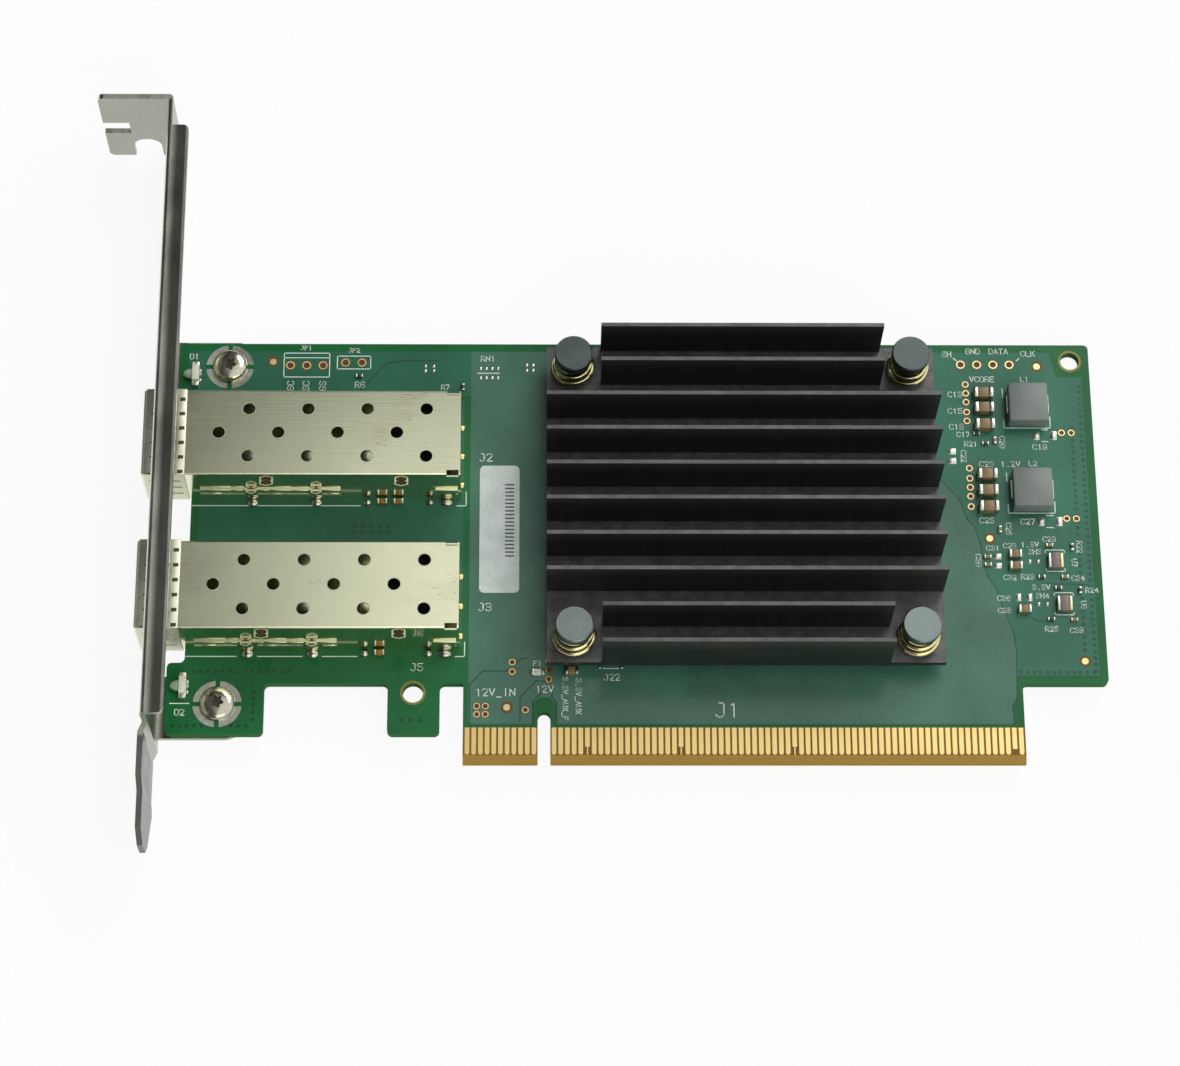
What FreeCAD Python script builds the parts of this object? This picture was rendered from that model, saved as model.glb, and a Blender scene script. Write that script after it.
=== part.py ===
"""Low-profile two-port network interface card on a full-height slot bracket.

Frame, in millimetres: the origin is on the component face, at the bottom edge of the edge connector,
under the centre of its key notch. +X runs along the card away from the bracket, +Y up to the card's top
edge, and +Z out of the component face. Every driving dimension is a cell of the spreadsheet, and every
feature is bound to those cells.
"""
import FreeCAD, Part
import math
import os
from collections import namedtuple

import Sketcher
from FreeCAD import Placement, Rotation, Vector

# Driving dimensions: alias, value in millimetres (or a plain count), and what it is.
DIMENSIONS = (
    ("board_thickness", 1.57, "laminate with its copper and mask"),
    ("board_left", -56.8, "edge that faces the bracket"),
    ("board_length", 142.0, "overall length of the board"),
    ("board_height", 68.9, "low-profile card height, from the connector's edge"),
    ("board_corner", 1.0, "radius of the board's outer corners"),
    ("step_height", 12.6, "lower edge of the board beside the edge connector"),
    ("foot_height", 4.6, "lower edge of the bracket-side foot and of the hook tab"),
    ("foot_right", -42.1, "right edge of the bracket-side foot"),
    ("tab_left", -23.5, "left edge of the hook tab"),
    ("tab_right", -15.7, "right edge of the hook tab"),
    ("recess_depth", 2.65, "set-back of the board under the cage mouths"),
    ("recess_below", 2.15, "how far the set-back runs on below the lower cage"),
    ("recess_above", 0.75, "how far the set-back runs on above the upper cage"),
    ("tongue_left", -12.15, "left edge of the edge connector"),
    ("tongue_right", 72.15, "right edge of the edge connector"),
    ("key_width", 1.9, "width of the key notch"),
    ("key_height", 8.1, "height of the key notch"),
    ("bevel_height", 1.3, "height of the lead-in bevel"),
    ("bevel_depth", 0.45, "depth of the lead-in bevel on each face"),
    ("finger_pitch", 1.0, "pitch of the edge contacts"),
    ("finger_width", 0.7, "width of an edge contact"),
    ("finger_top", 5.6, "upper end of the edge contacts"),
    ("finger_thickness", 0.05, "raised plating of an edge contact"),
    ("short_finger_cut", 1.6, "how much shorter a presence-detect contact is"),
    ("hook_hole_x", -19.7, "hole in the hook tab"),
    ("hook_hole_y", 11.1, "hole in the hook tab"),
    ("hook_hole_radius", 1.55, "hole in the hook tab"),
    ("rear_hole_x", 82.2, "hole at the rear corner"),
    ("rear_hole_y", 66.1, "hole at the rear corner"),
    ("rear_hole_radius", 1.45, "hole at the rear corner"),
    ("header_hole_radius", 0.5, "plated hole of a header or test pad"),
    ("sheet", 0.86, "bracket sheet thickness"),
    ("bracket_outer", -58.9, "outer face of the bracket plate"),
    ("bracket_bottom", 3.0, "lower end of the full-width plate"),
    ("bracket_tip", -14.82, "tip of the bracket tongue"),
    ("bracket_height", 120.02, "overall bracket height, tip to tab"),
    ("bracket_near", 14.47, "bracket edge on the component side"),
    ("bracket_width", 18.42, "bracket width across the slot"),
    ("lip_depth", 3.45, "depth of the stiffening lip along the near edge"),
    ("lip_top", 99.8, "upper end of the stiffening lip"),
    ("tab_reach", 11.05, "how far the screw tab stands out of the plate"),
    ("tongue_width", 14.2, "width of the bracket tongue"),
    ("joggle", 0.6, "outward offset of the bracket tongue"),
    ("screw_notch_radius", 2.21, "slot-screw notch in the tab"),
    ("screw_notch_offset", 4.65, "notch centre from the plate's outer face"),
    ("screw_notch_depth", 0.9, "straight part of the notch"),
    ("tab_slot_depth", 4.15, "open slot in the tab's free end"),
    ("tab_slot_start", 7.3, "open slot in the tab, from the bracket's far edge"),
    ("tab_slot_width", 3.3, "open slot in the tab's free end"),
    ("screw_x", -49.0, "bracket screws"),
    ("upper_screw_y", 64.9, "upper bracket screw"),
    ("lower_screw_y", 9.3, "lower bracket screw"),
    ("screw_head_radius", 2.72, "pan head"),
    ("screw_head_height", 1.75, "pan head"),
    ("recess_radius", 1.35, "six-lobed driver recess"),
    ("screw_shank_radius", 1.45, "machine-screw shank"),
    ("screw_length", 3.6, "shank length under the head"),
    ("screw_clearance", 0.15, "radial clearance of the screw in the board"),
    ("thread_clearance", 0.02, "radial clearance of the screw in the bracket ear"),
    ("ear_reach", 4.4, "ear end beyond the screw's centre"),
    ("upper_port_y", 49.7, "centre line of the upper port"),
    ("port_pitch", 24.7, "centre distance of the two ports"),
    ("cage_width", 13.9, "outer width of a port cage"),
    ("cage_height", 9.4, "top of a port cage above the board"),
    ("cage_front", -60.9, "mouth of a port cage"),
    ("cage_length", 48.2, "overall length of a port cage"),
    ("cage_sheet", 0.25, "cage sheet thickness"),
    ("vent_radius", 0.95, "round holes in the cage top"),
    ("vent_pitch", 9.0, "spacing of the cage's round holes"),
    ("vent_row", 3.9, "offset of the outer rows of holes"),
    ("first_vent_x", -49.4, "first hole of the middle row"),
    ("pin_width", 0.7, "press-fit pin of a cage"),
    ("pin_drop", 1.1, "length of a cage pin below the board"),
    ("pin_clearance", 0.1, "play of a cage pin in its board slot"),
    ("flange_height", 3.9, "upturned flange of the cage floor"),
    ("flange_slit_z", 2.3, "slits in the flange"),
    ("latch_z", 6.1, "latch bosses on the cage sides"),
    ("latch_width", 2.1, "latch boss"),
    ("latch_height", 1.3, "latch boss"),
    ("latch_depth", 0.4, "how far a latch boss stands out"),
    ("collar_length", 6.2, "spring-finger collar of a cage"),
    ("collar_sheet", 0.15, "collar sheet thickness"),
    ("collar_slot", 0.6, "slot between two spring fingers"),
    ("collar_pitch", 2.36, "pitch of the spring fingers"),
    ("window_clearance", 0.4, "bracket window around a collar"),
    ("housing_front", -24.0, "front of the port connector"),
    ("housing_length", 9.0, "length of the port connector"),
    ("housing_width", 11.2, "width of the port connector"),
    ("housing_height", 5.6, "height of the port connector"),
    ("card_slot_height", 1.4, "card slot of the port connector"),
    ("card_slot_bottom", 2.5, "lower face of the card slot"),
    ("card_slot_width", 9.2, "card slot of the port connector"),
    ("card_slot_depth", 6.0, "card slot of the port connector"),
    ("tail_pitch", 0.8, "pitch of the port contacts"),
    ("tail_width", 0.3, "width of a port contact"),
    ("sink_left", 0.4, "left edge of the heat sink"),
    ("sink_front", 14.55, "lower edge of the heat sink"),
    ("sink_width", 59.9, "heat sink along the fins"),
    ("sink_bottom", 2.8, "underside of the heat sink above the board"),
    ("sink_base", 1.2, "thickness of the heat-sink base"),
    ("fin_height", 9.1, "fins above the base"),
    ("fin_thickness", 0.6, "thickness of a fin"),
    ("fin_pitch", 5.7, "pitch of the fins"),
    ("fin_count", 10, "number of fins"),
    ("corner_cut", 8.3, "length missing from the outer fins, to clear the spring pins"),
    ("push_pin_inset_x", 4.1, "spring pins from the heat sink's ends"),
    ("push_pin_inset_y", 3.8, "spring pins from the heat sink's edges"),
    ("push_pin_radius", 1.5, "shank of a spring pin"),
    ("push_pin_head_radius", 2.9, "head of a spring pin"),
    ("push_pin_head_height", 1.5, "head of a spring pin"),
    ("push_pin_top", 10.4, "top of a spring pin above the board"),
    ("push_pin_tip", 2.4, "length of a spring pin below the board"),
    ("push_pin_clearance", 0.15, "radial clearance of a spring pin"),
    ("spring_wire", 0.65, "wire diameter of a pin spring"),
    ("spring_bottom_radius", 3.2, "wire centre radius on the heat sink"),
    ("spring_play", 0.5, "gap between a spring's top turn and the shank of its pin"),
    ("spring_turns", 3, "turns of a pin spring"),
    ("package_width", 25.0, "controller package"),
    ("package_thickness", 1.5, "controller package with its solder"),
    ("lid_width", 21.0, "controller lid"),
    ("pad_thickness", 0.2, "thermal pad"),
    ("inductor_width", 6.5, "moulded power inductor"),
    ("inductor_height", 3.0, "moulded power inductor"),
    ("inductor_x", 75.0, "power inductors"),
    ("upper_inductor_y", 58.0, "upper power inductor"),
    ("lower_inductor_y", 43.7, "lower power inductor"),
    ("terminal_sheet", 0.2, "inductor terminal"),
    ("terminal_width", 3.0, "inductor terminal"),
    ("large_chip_length", 3.1, "output capacitor"),
    ("large_chip_width", 1.7, "output capacitor"),
    ("large_chip_height", 1.6, "output capacitor"),
    ("medium_chip_length", 2.0, "medium capacitor"),
    ("medium_chip_width", 1.25, "medium capacitor"),
    ("medium_chip_height", 1.1, "medium capacitor"),
    ("port_chip_length", 1.6, "capacitor beside a cage"),
    ("port_chip_width", 0.85, "capacitor beside a cage"),
    ("port_chip_height", 0.8, "capacitor beside a cage"),
    ("small_chip_length", 1.1, "small resistor or capacitor"),
    ("small_chip_width", 0.55, "small resistor or capacitor"),
    ("small_chip_height", 0.5, "small resistor or capacitor"),
    ("module_length", 2.3, "regulator module"),
    ("module_width", 2.5, "regulator module"),
    ("module_height", 1.1, "regulator module"),
    ("fuse_length", 2.0, "fuse"),
    ("fuse_width", 1.0, "fuse"),
    ("fuse_height", 0.6, "fuse"),
    ("lamp_x", -54.9, "status lamps"),
    ("upper_lamp_y", 63.4, "upper status lamp"),
    ("lower_lamp_y", 12.0, "lower status lamp"),
    ("lamp_hole_z", 0.8, "lamp hole of the bracket above the board"),
    ("lamp_hole_radius", 1.25, "lamp hole of the bracket"),
    ("lamp_width", 2.6, "status lamp"),
    ("lamp_depth", 1.3, "status lamp"),
    ("lamp_height", 1.5, "status lamp"),
    ("memory_x", 18.0, "flash memory on the back"),
    ("memory_y", 59.0, "flash memory on the back"),
    ("memory_length", 4.9, "flash memory"),
    ("memory_width", 3.9, "flash memory"),
    ("memory_height", 1.5, "flash memory"),
    ("label_left", -9.9, "left edge of the sticker"),
    ("label_bottom", 27.2, "lower edge of the sticker"),
    ("label_width", 6.1, "sticker"),
    ("label_height", 21.0, "sticker"),
    ("label_thickness", 0.1, "sticker"),
)

SHEET_NAME = "Sizes"
TINY = 1e-9
X_AXIS_OF_SKETCH = -1
Y_AXIS_OF_SKETCH = -2

Chip = namedtuple("Chip", "x y turned")


class Size:
    """A length that carries its value and the spreadsheet formula it comes from."""

    def __init__(self, value, formula=None):
        self.value = float(value)
        self.formula = repr(self.value) if formula is None else formula

    @staticmethod
    def of(value):
        """Return the value as a Size."""
        return value if isinstance(value, Size) else Size(value)

    def __add__(self, other):
        other = Size.of(other)
        return Size(self.value + other.value, f"({self.formula} + {other.formula})")

    def __sub__(self, other):
        other = Size.of(other)
        return Size(self.value - other.value, f"({self.formula} - {other.formula})")

    def __mul__(self, other):
        other = Size.of(other)
        return Size(self.value * other.value, f"({self.formula} * {other.formula})")

    def __truediv__(self, other):
        other = Size.of(other)
        return Size(self.value / other.value, f"({self.formula} / {other.formula})")

    def __neg__(self):
        return Size(-self.value, f"(0 - {self.formula})")

    def __radd__(self, other):
        return Size.of(other) + self

    def __rsub__(self, other):
        return Size.of(other) - self

    def __rmul__(self, other):
        return Size.of(other) * self


def fill_sheet(doc):
    """Write the driving dimensions into the spreadsheet and return them by alias."""
    sheet = doc.addObject("Spreadsheet::Sheet", SHEET_NAME)
    sizes = {}
    for row, (alias, value, meaning) in enumerate(DIMENSIONS, start=1):
        sheet.set(f"A{row}", alias)
        sheet.set(f"B{row}", str(value))
        sheet.setAlias(f"B{row}", alias)
        sheet.set(f"C{row}", meaning)
        sizes[alias] = Size(value, f"{SHEET_NAME}.{alias}")
    doc.recompute()
    return sizes


DOC = FreeCAD.newDocument("NetworkCard")
S = fill_sheet(DOC)
NODES = []


# ---------------------------------------------------------------- modelling helpers

def new_body(label, x=0, y=0, z=0):
    """Start a sub-part at a place bound to the sheet."""
    body = DOC.addObject("PartDesign::Body", label)
    body.Label = label
    body.AllowCompound = True
    place = [Size.of(value) for value in (x, y, z)]
    body.Placement = Placement(Vector(*[size.value for size in place]), Rotation())
    for axis, size in zip("xyz", place):
        body.setExpression(f"Placement.Base.{axis}", size.formula)
    NODES.append(body)
    return body


def new_sketch(body, name, plane, offset=0):
    """Start a sketch on one of the body's origin planes, offset along the plane's normal."""
    offset = Size.of(offset)
    sketch = body.newObject("Sketcher::SketchObject", f"{body.Name}_{name}")
    support = next(item for item in body.Origin.OriginFeatures if item.Role == f"{plane}_Plane")
    sketch.AttachmentSupport = [(support, "")]
    sketch.MapMode = "FlatFace"
    sketch.AttachmentOffset = Placement(Vector(0, 0, offset.value), Rotation())
    sketch.setExpression("AttachmentOffset.Base.z", offset.formula)
    return sketch


def place_point(sketch, geometry, vertex, x, y):
    """Hold a sketch point at a place worked out from the sheet."""
    for kind, axis, size in (("DistanceX", Y_AXIS_OF_SKETCH, x), ("DistanceY", X_AXIS_OF_SKETCH, y)):
        size = Size.of(size)
        if abs(size.value) < TINY:
            sketch.addConstraint(Sketcher.Constraint("PointOnObject", geometry, vertex, axis))
            continue
        index = sketch.addConstraint(Sketcher.Constraint(kind, -1, 1, geometry, vertex, size.value))
        sketch.setExpression(f"Constraints[{index}]", size.formula)


def draw_polygon(sketch, corners):
    """Draw a closed outline whose corners are bound to the sheet."""
    corners = [(Size.of(x), Size.of(y)) for x, y in corners]
    points = [Vector(x.value, y.value, 0) for x, y in corners]
    first = sketch.GeometryCount
    for start, end in zip(points, points[1:] + points[:1]):
        sketch.addGeometry(Part.LineSegment(start, end), False)
    for index, (x, y) in enumerate(corners):
        following = first + (index + 1) % len(corners)
        sketch.addConstraint(Sketcher.Constraint("Coincident", first + index, 2, following, 1))
        place_point(sketch, first + index, 1, x, y)


def draw_box(sketch, left, bottom, right, top):
    """Draw a rectangle from its four edges."""
    draw_polygon(sketch, ((left, bottom), (right, bottom), (right, top), (left, top)))


def draw_centred_box(sketch, x, y, width, height):
    """Draw a rectangle about its centre."""
    draw_box(sketch, x - width / 2, y - height / 2, x + width / 2, y + height / 2)


def draw_boss(sketch, x, y, half_width, half_height):
    """Draw the long hexagon of a half-pierced latch boss."""
    shoulder = half_width * 0.65
    draw_polygon(sketch, (
        (x - half_width, y), (x - shoulder, y - half_height), (x + shoulder, y - half_height),
        (x + half_width, y), (x + shoulder, y + half_height), (x - shoulder, y + half_height),
    ))


def draw_circle(sketch, x, y, radius):
    """Draw a circle bound to the sheet."""
    x, y, radius = Size.of(x), Size.of(y), Size.of(radius)
    circle = Part.Circle(Vector(x.value, y.value, 0), Vector(0, 0, 1), radius.value)
    geometry = sketch.addGeometry(circle, False)
    index = sketch.addConstraint(Sketcher.Constraint("Radius", geometry, radius.value))
    sketch.setExpression(f"Constraints[{index}]", radius.formula)
    place_point(sketch, geometry, 3, x, y)


def draw_star(sketch, outer, inner, count):
    """Draw a star about the sketch's origin, as a lobed driver recess."""
    angles = [math.pi * index / count for index in range(count * 2)]
    reaches = [outer, inner] * count
    draw_polygon(sketch, [(reach * math.cos(angle), reach * math.sin(angle))
                          for reach, angle in zip(reaches, angles)])


def extrude(kind, body, sketch, length, reverse):
    """Add a pad or pocket of a sketch, and check that it changed the solid the right way."""
    before = body.Shape.Volume if body.Tip else 0.0
    length = Size.of(length)
    feature = body.newObject(f"PartDesign::{kind}", f"{sketch.Name}_{kind}")
    feature.Profile = sketch
    feature.Type = "Length"
    feature.Length = length.value
    feature.setExpression("Length", length.formula)
    feature.Reversed = reverse
    DOC.recompute()
    change = body.Shape.Volume - before
    if (change <= 0) == (kind == "Pad"):
        raise RuntimeError(f"{feature.Name} changes the solid by {change:.3f} mm3")
    return feature


def pad(body, sketch, length, reverse=False):
    """Pad a sketch along its normal."""
    return extrude("Pad", body, sketch, length, reverse)


def pocket(body, sketch, depth, reverse=False):
    """Cut a sketch against its normal, or along it when reversed."""
    return extrude("Pocket", body, sketch, depth, reverse)


def pattern(body, feature, axis, spacing, count):
    """Repeat a feature along one of the body's axes."""
    spacing = Size.of(spacing)
    count = Size.of(count)
    repeat = body.newObject("PartDesign::LinearPattern", f"{feature.Name}_Pattern")
    repeat.Originals = [feature]
    support = next(item for item in body.Origin.OriginFeatures if item.Role == f"{axis}_Axis")
    repeat.Direction = (support, [""])
    repeat.Mode = "Spacing"
    repeat.Offset = spacing.value
    repeat.setExpression("Offset", spacing.formula)
    repeat.Occurrences = int(count.value)
    repeat.setExpression("Occurrences", count.formula)
    body.Tip = repeat
    DOC.recompute()
    return repeat


def edges_where(feature, test):
    """Name the edges of a feature whose middle and direction pass a test."""
    names = []
    for index, edge in enumerate(feature.Shape.Edges, start=1):
        middle = edge.valueAt((edge.FirstParameter + edge.LastParameter) / 2)
        if test(edge, middle):
            names.append(f"Edge{index}")
    return names


def runs_along(edge, direction):
    """Tell whether an edge is straight along a direction."""
    if not isinstance(edge.Curve, Part.Line):
        return False
    return abs(abs(edge.tangentAt(edge.FirstParameter).dot(direction)) - 1) < TINY * 1000


def near(value, size):
    """Tell whether a coordinate is at a size."""
    return abs(value - Size.of(size).value) < 1e-4


def soften(kind, body, feature, names, size):
    """Add a fillet or a chamfer to named edges."""
    size = Size.of(size)
    dress = body.newObject(f"PartDesign::{kind}", f"{feature.Name}_{kind}")
    dress.Base = (feature, names)
    quantity = "Radius" if kind == "Fillet" else "Size"
    setattr(dress, quantity, size.value)
    dress.setExpression(quantity, size.formula)
    DOC.recompute()
    return dress


def fillet(body, feature, names, radius):
    """Round named edges."""
    return soften("Fillet", body, feature, names, radius)


def chamfer(body, feature, names, size):
    """Bevel named edges."""
    return soften("Chamfer", body, feature, names, size)


def revolve(body, sketch):
    """Turn a sketch of the XZ plane about the body's Z axis."""
    feature = body.newObject("PartDesign::Revolution", f"{sketch.Name}_Turn")
    feature.Profile = sketch
    support = next(item for item in body.Origin.OriginFeatures if item.Role == "Z_Axis")
    feature.ReferenceAxis = (support, [""])
    feature.Angle = 360
    DOC.recompute()
    return feature


# ---------------------------------------------------------------- places shared by several sub-parts

Z = Vector(0, 0, 1)
Y = Vector(0, 1, 0)
BOARD_RIGHT = S["board_left"] + S["board_length"]
BOARD_BACK = -S["board_thickness"]
BRACKET_INNER = S["bracket_outer"] + S["sheet"]
BRACKET_FAR = S["bracket_near"] - S["bracket_width"]
BRACKET_TOP = S["bracket_tip"] + S["bracket_height"]
PORTS = {"upper": S["upper_port_y"], "lower": S["upper_port_y"] - S["port_pitch"]}
SCREWS = {"upper": S["upper_screw_y"], "lower": S["lower_screw_y"]}
RECESS_TOP = PORTS["upper"] + S["cage_width"] / 2 + S["recess_above"]
RECESS_BOTTOM = PORTS["lower"] - S["cage_width"] / 2 - S["recess_below"]
CAGE_REAR = S["cage_front"] + S["cage_length"]
HALF_CAGE = S["cage_width"] / 2
LAMPS = {"upper": S["upper_lamp_y"], "lower": S["lower_lamp_y"]}
INDUCTORS = {"upper": S["upper_inductor_y"], "lower": S["lower_inductor_y"]}
SIDE_PIN_PLACES = (-44.7, -34.9, -27.1, -17.5)
REAR_PIN_PLACES = (-4.8, 0.0, 4.8)
LATCH_PLACES = (-42.2, -21.7)
FLANGES = ((-52.5, -31.1), (-16.6, -13.2))
FLANGE_SLITS = (-50.2, -41.2, -32.2)
FLANGE_BUMPS = (-44.7, -34.9)
SINK_TOP = S["sink_bottom"] + S["sink_base"]
SINK_DEPTH = (S["fin_count"] - 1) * S["fin_pitch"] + S["fin_thickness"]
PUSH_PINS = tuple(
    (x, y)
    for y in (S["sink_front"] + SINK_DEPTH - S["push_pin_inset_y"], S["sink_front"] + S["push_pin_inset_y"])
    for x in (
        S["sink_left"] + S["push_pin_inset_x"],
        S["sink_left"] + S["sink_width"] - S["push_pin_inset_x"],
    )
)
CHIP_X = S["sink_left"] + S["sink_width"] / 2
CHIP_Y = S["sink_front"] + SINK_DEPTH / 2
FINGER_ROWS = ((-11.5, 11), (1.5, 71))
SHORT_FINGERS = (6.5, 20.5, 37.5, 70.5)
HEADER_HOLES = ((-39.6, 65.2), (-37.06, 65.2), (-34.52, 65.2), (-31.0, 65.7), (-28.46, 65.7),
                (65.1, 65.5), (67.64, 65.5), (70.18, 65.5), (72.72, 65.5))
LARGE_CHIPS = (Chip(68.3, 60.2, False), Chip(68.3, 57.7, False), Chip(68.3, 54.9, False),
               Chip(68.3, 46.5, False), Chip(68.3, 43.8, False), Chip(68.3, 41.1, False))
MEDIUM_CHIPS = (
    Chip(4.15, 14.4, False), Chip(72.0, 33.4, False), Chip(72.0, 31.5, False), Chip(73.0, 24.4, False),
)
PORT_CHIPS = (Chip(-24.9, PORTS["upper"] - HALF_CAGE - 0.7, False),
              Chip(-22.4, PORTS["upper"] - HALF_CAGE - 0.7, False),
              Chip(-24.9, PORTS["lower"] - HALF_CAGE - 0.7, False))
SMALL_CHIPS = (
    Chip(-28.85, 63.3, False), Chip(-12.7, 61.4, True), Chip(67.05, 53.7, False), Chip(68.3, 52.0, False),
    Chip(69.8, 52.5, True), Chip(69.9, 37.6, True), Chip(67.8, 33.1, False), Chip(67.8, 31.8, False),
    Chip(77.35, 35.0, False), Chip(80.8, 34.7, True), Chip(75.9, 29.8, False), Chip(79.45, 29.8, False),
    Chip(78.35, 28.0, False), Chip(81.65, 27.6, True), Chip(77.0, 22.9, False), Chip(80.5, 22.8, False),
)
MODULES = {"upper": Chip(78.1, 32.3, False), "lower": Chip(79.1, 25.3, False)}
BACK_CHIPS = tuple(
    Chip(6.0 * (column - 1.5), 5.0 * (row - 1), row == 1)
    for row in range(3)
    for column in range(4)
)


# ---------------------------------------------------------------- board and edge contacts

def make_board():
    """The laminate: outline with its feet, notches, set-back, bevelled connector edge and holes."""
    body = new_body("circuit_board")
    left, right, top = S["board_left"], BOARD_RIGHT, S["board_height"]
    recess = left + S["recess_depth"]
    sketch = new_sketch(body, "outline", "XY")
    draw_polygon(sketch, (
        (S["tongue_left"], 0), (S["tongue_right"], 0), (S["tongue_right"], S["step_height"]),
        (right, S["step_height"]), (right, top), (left, top), (left, RECESS_TOP),
        (recess, RECESS_TOP), (recess, RECESS_BOTTOM), (left, RECESS_BOTTOM),
        (left, S["foot_height"]), (S["foot_right"], S["foot_height"]), (S["foot_right"], S["step_height"]),
        (S["tab_left"], S["step_height"]), (S["tab_left"], S["foot_height"]),
        (S["tab_right"], S["foot_height"]), (S["tab_right"], S["step_height"]),
        (S["tongue_left"], S["step_height"]),
    ))
    slab = pad(body, sketch, S["board_thickness"], reverse=True)
    outer = (left.value, right.value, S["foot_right"].value, S["tab_left"].value, S["tab_right"].value)
    outer += (recess, S["tongue_right"].value)
    corners = edges_where(slab, lambda edge, middle: runs_along(edge, Z) and middle.y > TINY and (
        any(near(middle.x, x) for x in outer)))
    slab = fillet(body, slab, corners, S["board_corner"] * 0.8)

    sketch = new_sketch(body, "key", "XY")
    draw_box(sketch, -S["key_width"] / 2, -1, S["key_width"] / 2, S["key_height"])
    key = pocket(body, sketch, S["board_thickness"])
    crown = edges_where(key, lambda edge, middle: runs_along(edge, Z) and near(middle.y, S["key_height"]))
    fillet(body, key, crown, S["key_width"] / 2 * 0.98)

    sketch = new_sketch(body, "bevel", "YZ", S["tongue_left"] - 1)
    draw_polygon(sketch, ((0, 0), (S["bevel_height"], 0), (0, -S["bevel_depth"])))
    draw_polygon(sketch, (
        (0, BOARD_BACK), (S["bevel_height"], BOARD_BACK), (0, BOARD_BACK + S["bevel_depth"]),
    ))
    pocket(body, sketch, S["tongue_right"] - S["tongue_left"] + 2, reverse=True)

    sketch = new_sketch(body, "holes", "XY")
    draw_circle(sketch, S["hook_hole_x"], S["hook_hole_y"], S["hook_hole_radius"])
    draw_circle(sketch, S["rear_hole_x"], S["rear_hole_y"], S["rear_hole_radius"])
    for y in SCREWS.values():
        draw_circle(sketch, S["screw_x"], y, S["screw_shank_radius"] + S["screw_clearance"])
    for x, y in PUSH_PINS:
        draw_circle(sketch, x, y, S["push_pin_radius"] + S["push_pin_clearance"])
    for x, y in HEADER_HOLES:
        draw_circle(sketch, x, y, S["header_hole_radius"])
    pocket(body, sketch, S["board_thickness"])

    along, across = S["pin_width"] + S["pin_clearance"] * 2, S["cage_sheet"] + S["pin_clearance"] * 2
    middle = HALF_CAGE - S["cage_sheet"] / 2
    sketch = new_sketch(body, "cage_slots", "XY")
    for centre in PORTS.values():
        for x in SIDE_PIN_PLACES:
            for side in (-1, 1):
                draw_centred_box(sketch, Size(x), centre + side * middle, along, across)
        for y in REAR_PIN_PLACES:
            draw_centred_box(sketch, CAGE_REAR - S["cage_sheet"] / 2, centre + y, across, along)
    pocket(body, sketch, S["board_thickness"])


def make_edge_contacts(label, face, reverse):
    """The row of gold fingers on one face: a short and a long group about the key notch."""
    body = new_body(label)
    for index, (start, count) in enumerate(FINGER_ROWS):
        sketch = new_sketch(body, f"finger{index}", "XY", face)
        draw_box(sketch, start - S["finger_width"] / 2, S["bevel_height"], start + S["finger_width"] / 2,
                 S["finger_top"])
        finger = pad(body, sketch, S["finger_thickness"], reverse)
        pattern(body, finger, "X", S["finger_pitch"], count)
    sketch = new_sketch(body, "short", "XY", face)
    for x in SHORT_FINGERS:
        draw_box(sketch, x - S["finger_width"], S["bevel_height"] - 1, x + S["finger_width"],
                 S["bevel_height"] + S["short_finger_cut"])
    pocket(body, sketch, S["finger_thickness"], reverse=not reverse)


# ---------------------------------------------------------------- bracket and its screws

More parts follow.
